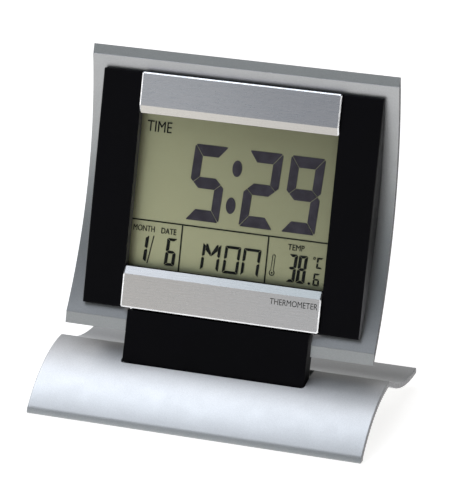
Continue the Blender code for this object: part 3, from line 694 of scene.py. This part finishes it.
def rubber_foot(name, node):
    """A round rubber pad with a soft lower rim and a moulded ring groove."""
    low, high = foot_box(node)
    centre = box_middle((low, high), "xy")
    radius = (high.x - low.x) / 2
    top = high.z
    rim = min(0.5, top * 0.4)
    profile = [(low.z + 0.18, 0.6), (low.z + 0.18, radius * 0.45), (low.z + 0.05, radius * 0.52),
               (low.z, radius * 0.60)]
    profile += [(low.z + rim - rim * c, radius - rim + rim * s) for s, c in turns(ROUND)]
    profile += [(top - 0.12, radius), (top, radius - 0.12)]
    pad = link(name, turned(centre, profile, 64, "Z"))
    place(pad, "base", "foot_rubber", [node])


# ---------------------------------------------------------------- screws

def cross_cut(centre, mouth, depth, arm, axis):
    """A tapered cross-shaped cutter that opens at the mouth."""
    narrow = arm * 0.24
    parts = []
    for across in (0, 1):
        rings = []
        for along, half in ((mouth + 0.2 * copysign(1, -depth), arm), (mouth + depth, arm * 0.45)):
            a, b = (half, narrow) if across else (narrow, half)
            corner = rectangle(centre[0] - a, centre[0] + a, centre[1] - b, centre[1] + b)
            rings.append([lifted(point, along, axis) for point in corner])
        parts.append(loft(rings))
    cutter = link("cross", parts[0])
    join(cutter, parts[1])
    bm = mesh_copy(cutter.data)
    drop(cutter)
    return bm


def make_screw(name, node, body, matrix, axis):
    """A pan-head screw with a domed head and a cross recess."""
    low, high = corners(node, matrix)
    centre = box_middle((low, high), "xz" if axis == "Y" else "xy")
    radius = (high.x - low.x) / 2
    if axis == "Y":
        tip, top = low.y, high.y
    else:
        tip, top = high.z, low.z
    way = copysign(1.0, top - tip)
    seat = top - way * SCREW_HEIGHT
    profile = [(tip, SCREW_SHANK * 0.5), (tip + way * 0.4, SCREW_SHANK), (seat, SCREW_SHANK),
               (seat, radius - 0.05), (seat + way * 0.08, radius), (seat + way * 0.3, radius),
               (seat + way * 0.5, radius * 0.93), (seat + way * 0.63, radius * 0.78),
               (top - way * 0.01, radius * 0.52), (top, radius * 0.25)]
    screw = link(name, turned(centre, profile, 48, axis))
    boolean(screw, cross_cut(centre, top, -way * 0.62, radius * 0.62, axis))
    place(screw, body, "steel", [node], 40.0)


# ---------------------------------------------------------------- head

PLATE_ARC = 124.7
PLATE_MIDDLE = 39.0
PLATE_CENTRE_Y = -116.9
PLATE_CHORD = 42.9
PLATE_SHEET = 1.8
LIP_STEP = 0.22
PLATE_OPENING = (-44.8, 44.8, 6.0, 72.0)
NECK_NOTCH = 31.9
WINDOW = (-34.0, 34.0, 13.9, 64.2)


def arc_between(radius, low, high, count):
    """Points of an arc about the plate's centre line between two heights, low to high, as (y, z)."""
    start = asin((low - PLATE_MIDDLE) / radius)
    end = asin((high - PLATE_MIDDLE) / radius)
    points = []
    for i in range(count + 1):
        angle = start + (end - start) * i / count
        points.append((PLATE_CENTRE_Y + radius * cos(angle), PLATE_MIDDLE + radius * sin(angle)))
    return points


def half_width(node, height):
    """Half the width of a CAD head piece at a height of the face."""
    inverse = FACE.inverted()
    points = [inverse @ (vert.co / MM) for vert in NODES[node].data.vertices]
    return max(p.x for p in points if abs(p.z - height) < 0.5)


def trim_ends(obj, material):
    """Gives the faces at the left and right ends of a sheet their own material, a darker copy of the paint:
    painted shade.
    """
    obj.data.materials.append(MATERIALS[material])
    reach = max(abs(vert.co.x) for vert in obj.data.vertices) * 0.98
    for polygon in obj.data.polygons:
        if abs(polygon.normal.x) > 0.9 and abs(polygon.center.x) > reach:
            polygon.material_index = 1


def make_plate():
    """The curved silver plate, with lips set back by a fine step and rounded edges."""
    low, high = face_box("head_plate")
    bottom, top = low.z, high.z
    front = arc_between(PLATE_ARC, PLATE_MIDDLE - PLATE_CHORD, PLATE_MIDDLE + PLATE_CHORD, 48)
    back = arc_between(PLATE_ARC + PLATE_SHEET, bottom + 0.05, top - 0.05, 52)
    edge = front[0][0]
    upper = [(edge + LIP_STEP, front[-1][1] + 0.05), (edge + LIP_STEP + 0.03, top - 0.15)]
    lower = [(edge + LIP_STEP + 0.03, bottom + 0.15), (edge + LIP_STEP, front[0][1] - 0.05)]
    blank = prism(front + upper + back[::-1] + lower, low.x, high.x, "X")
    taper = 1.0 - half_width("head_plate", top) / high.x
    for vert in blank.verts:
        vert.co.x *= 1.0 - taper * (vert.co.z - bottom) / (top - bottom)
    plate = link("clock_plate", blank)
    soften(plate, 0.18, 2, 50.0)
    boolean(plate, prism(rectangle(*PLATE_OPENING, 2.0), -4.0, 20.0))
    boolean(plate, prism(rectangle(-NECK_NOTCH, NECK_NOTCH, -12.0, PLATE_OPENING[2] + 2.0), -4.0, 20.0))
    place(plate, "head", "silver_paint", ["head_plate"], 30.0, "plate_paint")
    # The plate's end faces take a darker copy of the paint: painted shade.
    trim_ends(plate, "plate_edge")


SIDE_WALL = 2.75
SCREW_PILLARS = ((42.3, 14.0), (42.3, 64.0))


def make_housing():
    """The black display housing: rounded outer edges, a stepped window and pockets for the bars."""
    low, high = face_box("front_housing")
    radius = PLATE_ARC - CLEARANCE
    outline = [(0.0, 0.0)] + arc_between(radius, 0.0, high.z, 32) + [(0.0, high.z)]
    housing = link("clock_housing", prism(outline, low.x, high.x, "X"))
    soften(housing, 0.45, 3, 50.0)
    inner = high.x - SIDE_WALL
    boolean(housing, prism(rectangle(-inner, inner, 2.0, high.z - 2.0, 1.5), 3.0, 20.0))
    x0, x1, z0, z1 = WINDOW
    boolean(housing, prism(rectangle(x0, x1, z0, z1), -2.0, 6.0))
    pocket = x1 + CLEARANCE
    depth = face_box("top_trim")[1].y + CLEARANCE
    boolean(housing, prism(rectangle(-pocket, pocket, -1.0, z0 + 0.01), -2.0, depth))
    boolean(housing, prism(rectangle(-pocket, pocket, z1 - 0.01, high.z + 1), -2.0, depth))
    places = mirrored(SCREW_PILLARS)
    join(housing, merge([turned(p, [(2.0, 2.1), (12.3, 2.1), (12.5, 1.9)], 24) for p in places]))
    boolean(housing, merge([turned(p, [(5.0, BORE), (14.0, BORE)], 24) for p in places]))
    place(housing, "head", "black_plastic", ["front_housing"])
    # The outer side walls and the window's walls take paler copies of the black, with painted light.
    housing.data.materials.append(MATERIALS["black_side"])
    housing.data.materials.append(MATERIALS["window_wall"])
    for polygon in housing.data.polygons:
        if abs(polygon.normal.x) > 0.5:
            outer = abs(polygon.center.x) > (x1 + 1.0) * MM
            polygon.material_index = 1 if outer else 2


# Each bar is (piece, CAD node, finish, finish of its wide chamfer); the finishes are lit and shaded copies of one
# brushed aluminium, with painted light and shade.
BARS = (("lower_bar", "bottom_trim", "brushed_bar", "lower_chamfer"),
        ("upper_bar", "top_trim", "upper_brushed", "upper_chamfer"))
BAR_EDGE = 0.42
# The edges are rounded on a bar stretched this much in depth, which leaves them deeper than they are wide.
BAR_EDGE_STRETCH = 2.2
# A slanting face larger than this, in square millimetres, is a chamfer and not an edge.
CHAMFER_AREA = 100.0
FACE_TURN = FACE.to_3x3().inverted()


def make_bars():
    """The brushed bars above and below the window, with polished rounded edges."""
    for name, node, face, chamfer in BARS:
        bar = from_node(name, node, FACE)
        for vert in bar.data.vertices:
            vert.co.y *= BAR_EDGE_STRETCH
        soften(bar, BAR_EDGE, 1, 60.0)
        for vert in bar.data.vertices:
            vert.co.y /= BAR_EDGE_STRETCH
        place(bar, "head", "brushed_bar", [node], 20.0, face)
        # Rounded edges take the polished finish; the wide chamfers take a lit or shaded copy of the aluminium,
        # with painted light or shade.
        bar.data.materials.append(MATERIALS["polished_edge"])
        bar.data.materials.append(MATERIALS[chamfer])
        for polygon in bar.data.polygons:
            normal = FACE_TURN @ polygon.normal
            if normal.y < -0.2 and max(abs(normal.x), abs(normal.z)) > 0.3:
                wide = polygon.area > CHAMFER_AREA * MM * MM
                polygon.material_index = 2 if wide else 1


def make_neck():
    """The black neck with rounded edges and its round hinge barrel."""
    neck = from_node("hinge_neck", "neck", FACE)
    soften(neck, 0.12, 2, 40.0)
    place(neck, "head", "black_plastic", ["neck"])


make_foot()
make_bracket()
for side in ("left", "right"):
    rubber_foot("front_pad_" + side, "front_foot_" + side)
    rubber_foot("rear_pad_" + side, "rear_foot_" + side)
for number in (1, 2, 3, 4):
    make_screw(f"foot_screw_{number}", f"bracket_screw_{number}", "base", FOOT, "Z")
make_plate()
make_housing()
make_bars()
make_neck()
for number in range(1, 7):
    make_screw(f"rear_screw_{number}", f"cover_screw_{number}", "head", FACE, "Y")


# ---------------------------------------------------------------- display characters

INK_FRONT = face_box("display_window")[1].y + 0.1
INK_BACK = face_box("lcd_panel")[0].y - 0.02
# The lit segments of each sign: a to g as on any seven-segment digit, x and y the slanting strokes of M.
SEGMENTS = {
    "2": "abged", "3": "abgcd", "5": "afgcd", "6": "afgecd", "8": "abcdefg", "9": "abcdfg",
    "1": "bc", "O": "abcdef", "N": "abcef", "C": "adef", "M": "bcefxy",
}
# How far the signs lean to the right, for each millimetre of height.
SLANT = 0.055


def segment_shapes(width, height, flat, upright, gap, cut):
    """The outlines of a digit's segments before it is slanted, from its lower left corner."""
    mid = height / 2
    half = flat / 2
    tip = upright * 0.32

    def both(points):
        """A left-hand outline and its mirror image on the right."""
        return points, [(width - x, z) for x, z in points]

    def lower(points):
        return [(x, height - z) for x, z in points]

    top = [(cut, height), (width - cut, height), (width - cut / 2 - gap, height - cut / 2),
           (width - upright - gap, height - flat), (upright + gap, height - flat),
           (cut / 2 + gap, height - cut / 2)]
    left, right = both([(0.0, height - cut), (cut / 2, height - cut / 2 - gap),
                        (upright, height - flat - gap), (upright, mid + half + gap),
                        (tip, mid + gap), (0.0, mid + gap + tip)])
    middle = [(tip + gap, mid), (upright + gap * 0.6, mid + half), (width - upright - gap * 0.6, mid + half),
              (width - tip - gap, mid), (width - upright - gap * 0.6, mid - half),
              (upright + gap * 0.6, mid - half)]
    slant = upright * 0.9
    x_left = [(upright + gap, height - cut), (upright + gap + slant * 0.6, height - cut),
              (width / 2 - gap, mid + flat * 1.6), (width / 2 - gap, mid + flat * 0.4),
              (upright + gap, height - flat * 2.6)]
    x_right = [(width - x, z) for x, z in x_left]
    return {"a": top, "f": left, "b": right, "g": middle, "d": lower(top), "e": lower(left),
            "c": lower(right), "x": x_left, "y": x_right}


def character(sign, origin, width, height, flat, upright, gap, cut=0.0):
    """Thin solids for one segmented character whose lower left corner is at the origin."""
    shapes = segment_shapes(width, height, flat, upright, gap, cut or upright * 0.3)
    parts = []
    for letter in SEGMENTS[sign]:
        outline = [(origin[0] + x + (z - height / 2) * SLANT, origin[1] + z) for x, z in shapes[letter]]
        parts.append(flat_ink(outline))
    return parts


def flat_ink(outline):
    """A thin solid from an outline on the face."""
    return prism(outline, INK_FRONT, INK_BACK)


def stroke(start, end, width):
    """A thin straight line between two points of the face."""
    a, b = Vector(start), Vector(end)
    side = (b - a).normalized().orthogonal() * width / 2
    return flat_ink([tuple(a + side), tuple(b + side), tuple(b - side), tuple(a - side)])


def band(outer, inner):
    """A closed band between two outlines with the same number of points."""
    sides = ((outer, INK_FRONT), (outer, INK_BACK), (inner, INK_BACK), (inner, INK_FRONT))
    return loft([[lifted(point, y, "Y") for point in outline] for outline, y in sides], closed=True)


def ink(name, parts, material="fine_ink"):
    """Places thin display characters as one piece."""
    obj = link(name, merge(parts))
    place(obj, "head", "carrier_plastic", crisp=30.0, material=material)


def lettering(name, text, box, front, back, weight=0.0):
    """A line of plain capitals fitted to a box (x0, x1, z0, z1) of the face, facing -Y or +Y."""
    curve = bpy.data.curves.new(name, "FONT")
    curve.body = text
    curve.resolution_u = 4
    curve.offset = weight
    curve.extrude = 0.5
    obj = add(name, curve)
    mesh = finished_mesh(obj)
    bpy.data.objects.remove(obj)
    bpy.data.curves.remove(curve)
    points = [vert.co for vert in mesh.vertices]
    x_low, x_high = min(p.x for p in points), max(p.x for p in points)
    y_low, y_high = min(p.y for p in points), max(p.y for p in points)
    x0, x1, z0, z1 = box
    for vert in mesh.vertices:
        x = x0 + (vert.co.x - x_low) / (x_high - x_low) * (x1 - x0)
        z = z0 + (vert.co.y - y_low) / (y_high - y_low) * (z1 - z0)
        y = front + (0.5 - vert.co.z) * (back - front)
        vert.co = (x, y, z)
    bm = mesh_copy(mesh)
    bpy.data.meshes.remove(mesh)
    bmesh.ops.remove_doubles(bm, verts=bm.verts, dist=SAME_POINT)
    face_outwards(bm)
    letters = link(name, bm)
    place(letters, "head", "carrier_plastic", crisp=30.0, material="fine_ink")


# Each calendar sign is (sign, left, bottom, width, thickness of its uprights).
CALENDAR = (("1", -30.95, 15.25, 2.6, 1.05), ("6", -21.95, 15.1, 3.55, 1.05), ("M", -9.4, 15.15, 6.2, 0.9),
            ("O", -1.75, 15.15, 5.35, 0.9), ("N", 4.6, 15.15, 5.95, 0.9), ("3", 20.1, 15.15, 2.95, 1.0),
            ("8", 23.5, 15.1, 2.95, 1.0))
DIVIDER = 0.42
DIVIDER_HEIGHT = 29.1
DIVIDER_PLACES = (-16.95, 12.8)
# Each word on the display is (piece, word, (x low, x high, z low, z high), extra stroke weight).
WORDS = (("label_time", "TIME", (-32.4, -23.9, 58.4, 61.95), -0.002),
         ("label_month", "MONTH", (-33.85, -26.45, 25.45, 27.4), 0.0),
         ("label_date", "DATE", (-24.1, -18.9, 25.4, 27.3), 0.004),
         ("label_temp", "TEMP", (19.6, 25.2, 25.5, 27.4), 0.0))
BAR_WORD = (16.9, 33.1, 7.85, 9.8)


def dot(centre, radius, sides, squash=1.0):
    """A filled round or oval mark."""
    return flat_ink(circle(centre, radius, sides, squash))


def make_time():
    """The large hours and minutes with their oval colon."""
    big = dict(width=11.55, height=25.0, flat=3.7, upright=2.95, gap=0.16, cut=0.55)
    digits = []
    for sign, left in (("5", -15.8), ("2", 2.8), ("9", 17.15)):
        digits += character(sign, (left, 31.1), **big)
    digits += [dot(spot, 1.62, 40, 1.66) for spot in ((-0.2, 49.55), (-1.2, 37.3))]
    ink("time_digits", digits, "display_ink")


def make_calendar():
    """The month and day, the weekday and the temperature."""
    signs = []
    for sign, left, bottom, width, upright in CALENDAR:
        signs += character(sign, (left, bottom), width, 9.1, 0.88, upright, 0.12)
    signs += character("C", (29.75, 20.6), 2.1, 3.6, 0.52, 0.56, 0.08)
    signs += character("6", (29.1, 15.0), 2.1, 4.0, 0.52, 0.56, 0.08)
    signs.append(stroke((-26.5, 24.3), (-28.05, 15.0), 0.32))
    signs.append(dot((27.8, 15.5), 0.42, 20))
    degree = (28.9, 23.85)
    signs.append(band(circle(degree, 0.42, 20), circle(degree, 0.24, 20)))
    ink("calendar_digits", signs)


def make_dividers():
    """The line under the time and the two lines between the fields."""
    x0, x1, bottom = WINDOW[:3]
    lines = [stroke((x0 - 1.0, DIVIDER_HEIGHT), (x1 + 1.0, DIVIDER_HEIGHT), DIVIDER)]
    lines += [stroke((x, DIVIDER_HEIGHT - 0.25), (x, bottom - 1.0), DIVIDER) for x in DIVIDER_PLACES]
    ink("display_dividers", lines)


def make_thermometer():
    """The thermometer symbol: an outlined bulb and tube with a filled drop."""
    bulb = (14.95, 17.35)
    cap = (bulb[0] + 0.25, 22.9)
    outline = arc(bulb, 0.95, 122, 296, 27) + arc(cap, 0.5, 0, 180, 8)
    inside = arc(bulb, 0.72, 122, 296, 27) + arc(cap, 0.3, 0, 180, 8)
    ink("thermometer_icon", [band(outline, inside), dot(bulb, 0.3, 16)])


make_time()
make_calendar()
make_dividers()
make_thermometer()
for piece_name, word, word_box, weight in WORDS:
    lettering(piece_name, word, word_box, INK_FRONT, INK_BACK, weight)
BAR_FRONT = face_box("bottom_trim")[0].y
lettering("label_thermometer", "THERMOMETER", BAR_WORD, BAR_FRONT - 0.02, BAR_FRONT + 0.05)


# ---------------------------------------------------------------- back of the head

# The four push buttons and the raised mark on each, as the triangle's (x, z) points.
UP_MARK = [(-1.1, -0.7), (1.1, -0.7), (0.0, 1.2)]
DOWN_MARK = [(-1.1, 0.7), (1.1, 0.7), (0.0, -1.2)]
BUTTONS = {"mode_button": None, "set_button": None, "up_button": UP_MARK, "down_button": DOWN_MARK}
COVER_WALL = 1.6
COVER_ROUND = 0.7
# Past every surface at the back of the head, so that a cut opens through.
OUTSIDE = 20.0
# The battery bay as x low, x high, z low, z high, and the width of the ledge around it.
BAY = (10.2, 35.8, 17.6, 30.4)
LEDGE = 1.8
BUTTON_RADIUS = 3.0
BUTTON_ROUND = 0.45
# The depths between which a button's or the knob's flange lies inside the cover.
FLANGE = (14.2, 15.2)
KNOB_TRAVEL = 1.3
SOUND_HOLE = 0.9
SOUND_RING = 4.0


def make_cover():
    """The rear cover: rounded outside, battery bay, button and knob openings with soft lips, screw wells."""
    low, high = face_box("rear_cover")
    back = high.y
    outline = arc_between(PLATE_ARC + PLATE_SHEET + CLEARANCE, low.z, high.z, 28)
    outline += [(9.5, high.z), (back, 63.0), (back, 4.5), (back - 2.0, low.z)]
    cover = link("clock_back", prism(outline, low.x, high.x, "X"))
    soften(cover, COVER_ROUND, 4, 15.0)
    inner = back - COVER_WALL
    floor, roof = low.z + COVER_WALL, high.z - COVER_WALL
    hollow = [(0.0, floor), (inner, floor), (inner, 62.5), (8.8, roof), (0.0, roof)]
    boolean(cover, prism(hollow, low.x + COVER_WALL, high.x - COVER_WALL, "X"))
    boolean(cover, prism(rectangle(-NECK_NOTCH, NECK_NOTCH, 0.0, 6.0), -2.0, 11.2))
    board = face_box("circuit_board")[1].y
    bottom, top = BAY[2] - LEDGE, BAY[3] + LEDGE
    join(cover, prism(rectangle(BAY[0] - LEDGE, BAY[1] + LEDGE, bottom, top), board + 0.4, inner + 0.4))
    join(cover, prism(rectangle(BAY[1], high.x - COVER_WALL + 0.5, bottom, top), 14.7, inner + 0.4))
    boolean(cover, prism(rectangle(*BAY, 1.0), 5.0, OUTSIDE))
    door_low, door_high = face_box("battery_door")
    recess = rectangle(door_low.x - CLEARANCE, high.x + 2, door_low.z - CLEARANCE, door_high.z + CLEARANCE)
    boolean(cover, prism(recess, door_low.y - CLEARANCE, OUTSIDE))
    screws = [face_box(f"cover_screw_{n}") for n in range(1, 7)]
    places = [box_middle(box) for box in screws]
    join(cover, merge([turned(p, [(12.8, 2.4), (inner + 0.4, 2.4)], 32) for p in places]))
    boolean(cover, merge([turned(p, [(11.0, BORE), (19.0, BORE)], 24) for p in places]))
    seat = screws[0][1].y - SCREW_HEIGHT - CLEARANCE
    boolean(cover, merge([flared_hole(p, SCREW_HEAD + CLEARANCE, seat, back, OUTSIDE) for p in places]))
    centres = [box_middle(face_box(node)) for node in BUTTONS]
    hole = BUTTON_RADIUS + CLEARANCE
    boolean(cover, merge([flared_hole(p, hole, 14.0, back, OUTSIDE, 0.35) for p in centres]))
    x, z = box_middle(face_box("alarm_knob"))
    x += KNOB_TRAVEL
    boolean(cover, prism(rectangle(x - 3.2, x + 3.2, z - 1.6, z + 1.6, 0.4), 14.0, 19.0))
    boolean(cover, prism(rectangle(x - 3.9, x + 3.9, z - 2.3, z + 2.3, 0.8), back - 0.3, 19.0))
    buzzer = box_middle(face_box("alarm_buzzer"))
    sounds = [buzzer] + arc(buzzer, SOUND_RING, 0, 300, 5)
    boolean(cover, merge([flared_hole(p, SOUND_HOLE, 14.0, back, 19.0, 0.2) for p in sounds]))
    place(cover, "head", "black_plastic", ["rear_cover"], 40.0, "rear_plastic")


def make_door():
    """The sliding battery door: rounded edges, four grip ridges and an arrow pressed in."""
    low, high = face_box("battery_door")
    top = high.y - 0.5
    door = link("cell_door", prism(rectangle(low.x, high.x, low.z, high.z, 0.5, 4), low.y, top))
    soften(door, 0.15, 2, 40.0)
    ridges = []
    for x in (37.0, 38.6, 40.2, 41.8):
        profile = [(x, top - 0.3), (x, top + 0.2), (x + 0.12, top + 0.42), (x + 0.3, top + 0.5),
                   (x + 0.48, top + 0.42), (x + 0.6, top + 0.2), (x + 0.6, top - 0.3)]
        ridges.append(prism(profile, low.z + 4.0, high.z - 4.0, "Z"))
    join(door, merge(ridges))
    z = (low.z + high.z) / 2
    tail, neck = 28.0, 31.0
    arrow = [(tail, z - 1.0), (neck, z - 1.0), (neck, z - 2.4), (34.4, z), (neck, z + 2.4), (neck, z + 1.0),
             (tail, z + 1.0)]
    boolean(door, prism(arrow, top - 0.25, top + 1.0))
    place(door, "battery_door", "black_plastic", ["battery_door"], 40.0, "rear_plastic")


def make_button(node, mark):
    """A round push button with a dished top and a raised mark."""
    low, high = face_box(node)
    centre = box_middle((low, high))
    radius = BUTTON_RADIUS
    rim = BUTTON_ROUND
    top = high.y
    flange_low, flange_high = FLANGE
    profile = [(low.y, 1.5), (flange_low, 1.5), (flange_low, radius + 0.9), (flange_high, radius + 0.9),
               (flange_high, radius), (top - rim, radius)]
    profile += [(top - rim + rim * s, radius - rim * (1 - c)) for s, c in turns((25, 50, 75, 90))]
    profile += [(top - 0.06, radius - 0.9), (top - 0.18, radius - 1.5), (top - 0.26, radius - 2.2),
                (top - 0.28, 0.3)]
    button = link(node + "_cap", turned(centre, profile, 64))
    if mark:
        shape = [(centre[0] + x, centre[1] + z) for x, z in mark]
        join(button, prism(shape, top - 0.8, top - 0.08))
    place(button, node, "button_plastic", [node], 40.0)


def make_knob():
    """The alarm's sliding knob with finger ridges."""
    low, high = face_box("alarm_knob")
    x, z = box_middle((low, high))
    top = high.y
    body = rectangle(x - 1.6, x + 1.6, z - 1.3, z + 1.3, 0.3, 3)
    knob = link("alarm_slider", prism(body, low.y, top - 0.2))
    ribs = []
    for middle in (x - 1.1, x, x + 1.1):
        rib = [(middle - 0.3, top - 0.6), (middle - 0.2, top), (middle + 0.2, top), (middle + 0.3, top - 0.6)]
        ribs.append(prism(rib, z - 1.15, z + 1.15, "Z"))
    join(knob, merge(ribs))
    join(knob, prism(rectangle(low.x, high.x, low.z, high.z, 0.3, 3), *FLANGE))
    place(knob, "alarm_knob", "button_plastic", ["alarm_knob"], 40.0)


make_cover()
make_door()
for button_node, button_mark in BUTTONS.items():
    make_button(button_node, button_mark)
make_knob()

HINGE_STEEL = ("hinge_pin", "friction_washer_left", "friction_washer_right")


def finish_cad_nodes():
    """CAD nodes whose shape is already right keep their meshes and take the finished materials."""
    for row in frame["record"]["subparts"]:
        node = NODES[row["node"]]
        if not node.hide_render:
            finish = "dark_steel" if row["node"] in HINGE_STEEL else row["material_slot"]
            node.data.materials.clear()
            node.data.materials.append(MATERIALS[finish])


finish_cad_nodes()


# ---------------------------------------------------------------- studio

# The floor glows a little, except for a painted shadow beneath the foot where the glow stops: x low, x high, y
# low, y high, and the fade round it.
FLOOR_GLOW = 0.78
PAINTED_SHADOW = (-36.0, 36.0, -22.0, 34.0)
PAINTED_SHADOW_FADE = 8.0


def make_floor():
    """A plain pale floor, far larger than the clock, with a painted shadow beneath the foot."""
    bm = bmesh.new()
    bmesh.ops.create_circle(bm, cap_ends=True, segments=96, radius=6.0)
    floor = link("studio_floor", bm)
    floor.location.z = -0.0002
    paper = Surface("studio_paper", 0.9, 0.0, Specular_IOR_Level=0.1)
    clouds = paper.range(paper.noise(80.0), 0.0, 1.0)
    paper.colour(paper.blend(clouds, (0.57, 0.565, 0.555), (0.60, 0.595, 0.585)))
    # Painted shadow: the glow is nearly black inside the box under the foot and full outside it.
    past_painted_shadow = paper.beyond(PAINTED_SHADOW, PAINTED_SHADOW_FADE)
    glow = paper.blend(past_painted_shadow, (0.02, 0.02, 0.02), (1.0, 0.995, 0.985))
    fill(paper.tree, paper.shader, Emission_Color=glow, Emission_Strength=FLOOR_GLOW)
    floor.data.materials.append(paper.material)


# Each light is (azimuth, elevation, sharpness, strength, colour). Azimuth 0 is the front, 90 the right.
LIGHTS = (
    (-75.0, 68.0, 14.0, 3.95, (0.845, 0.91, 1.0)),
    (-150.0, 62.0, 7.0, 1.2, (1.0, 0.96, 0.96)),
    (-20.0, 0.0, 14.0, 0.76, (0.66, 0.87, 1.0)),
    (-20.0, -22.0, 14.0, 2.75, (1.0, 0.82, 0.63)),
    (180.0, 25.0, 8.0, 0.17, (0.95, 1.0, 0.9)),
    (110.0, 20.0, 8.0, 0.2, (1.0, 1.0, 1.0)),
    (-68.0, 3.0, 60.0, 2.2, (1.0, 1.0, 1.0)),
    (30.0, 3.0, 60.0, 2.2, (1.0, 1.0, 1.0)),
)


def make_world():
    """Soft studio surroundings: a large bright source above, fill lights, two strips and a white backdrop."""
    world = bpy.data.worlds.new("studio")
    bpy.context.scene.world = world
    world.use_nodes = True
    tree = world.node_tree
    tree.nodes.clear()
    coordinates = add_node(tree, "TexCoord").outputs["Generated"]

    def lobe(azimuth, elevation, sharpness, strength):
        """Light that falls off smoothly round one direction."""
        a, e = radians(azimuth), radians(elevation)
        direction = (sin(a) * cos(e), -cos(a) * cos(e), sin(e))
        facing = maths(tree, "DOT_PRODUCT", coordinates, direction, kind="VectorMath")
        raised = maths(tree, "POWER", maths(tree, "MAXIMUM", facing, 0.0), sharpness)
        return maths(tree, "MULTIPLY", raised, strength)

    glows = [add_node(tree, "Background", Color=(*colour, 1.0), Strength=lobe(*aim)).outputs[0]
             for *aim, colour in LIGHTS]
    total = glows[0]
    for glow in glows[1:]:
        total = add_node(tree, "AddShader", total, glow).outputs[0]
    backdrop = add_node(tree, "Background", Color=(1.0, 1.0, 1.0, 1.0)).outputs[0]
    seen = add_node(tree, "LightPath").outputs["Is Camera Ray"]
    mix = add_node(tree, "MixShader", seen, total, backdrop).outputs[0]
    add_node(tree, "OutputWorld", Surface=mix)


CAMERA_AZIMUTH = radians(19.26)
CAMERA_ELEVATION = radians(22.31)
CAMERA_DISTANCE = 0.9974
CAMERA_TARGET = (0.62, -0.59, 53.4)


def make_camera():
    """A long lens looking at the clock from the right of its front and above."""
    data = bpy.data.cameras.new("camera")
    data.lens = 222.0
    data.sensor_width = 36.0
    camera = add("camera", data)
    level = cos(CAMERA_ELEVATION)
    back = Vector((sin(CAMERA_AZIMUTH) * level, -cos(CAMERA_AZIMUTH) * level,
                   sin(CAMERA_ELEVATION)))
    camera.location = Vector(CAMERA_TARGET) * MM + back * CAMERA_DISTANCE
    camera.rotation_mode = "QUATERNION"
    camera.rotation_quaternion = (-back).to_track_quat("-Z", "Y")
    data.clip_start = 0.05
    data.clip_end = 50.0
    bpy.context.scene.camera = camera


make_floor()
make_world()
make_camera()
bpy.context.scene.view_settings.view_transform = "Standard"

for leftover in [m for m in bpy.data.meshes if m.users == 0]:
    bpy.data.meshes.remove(leftover)
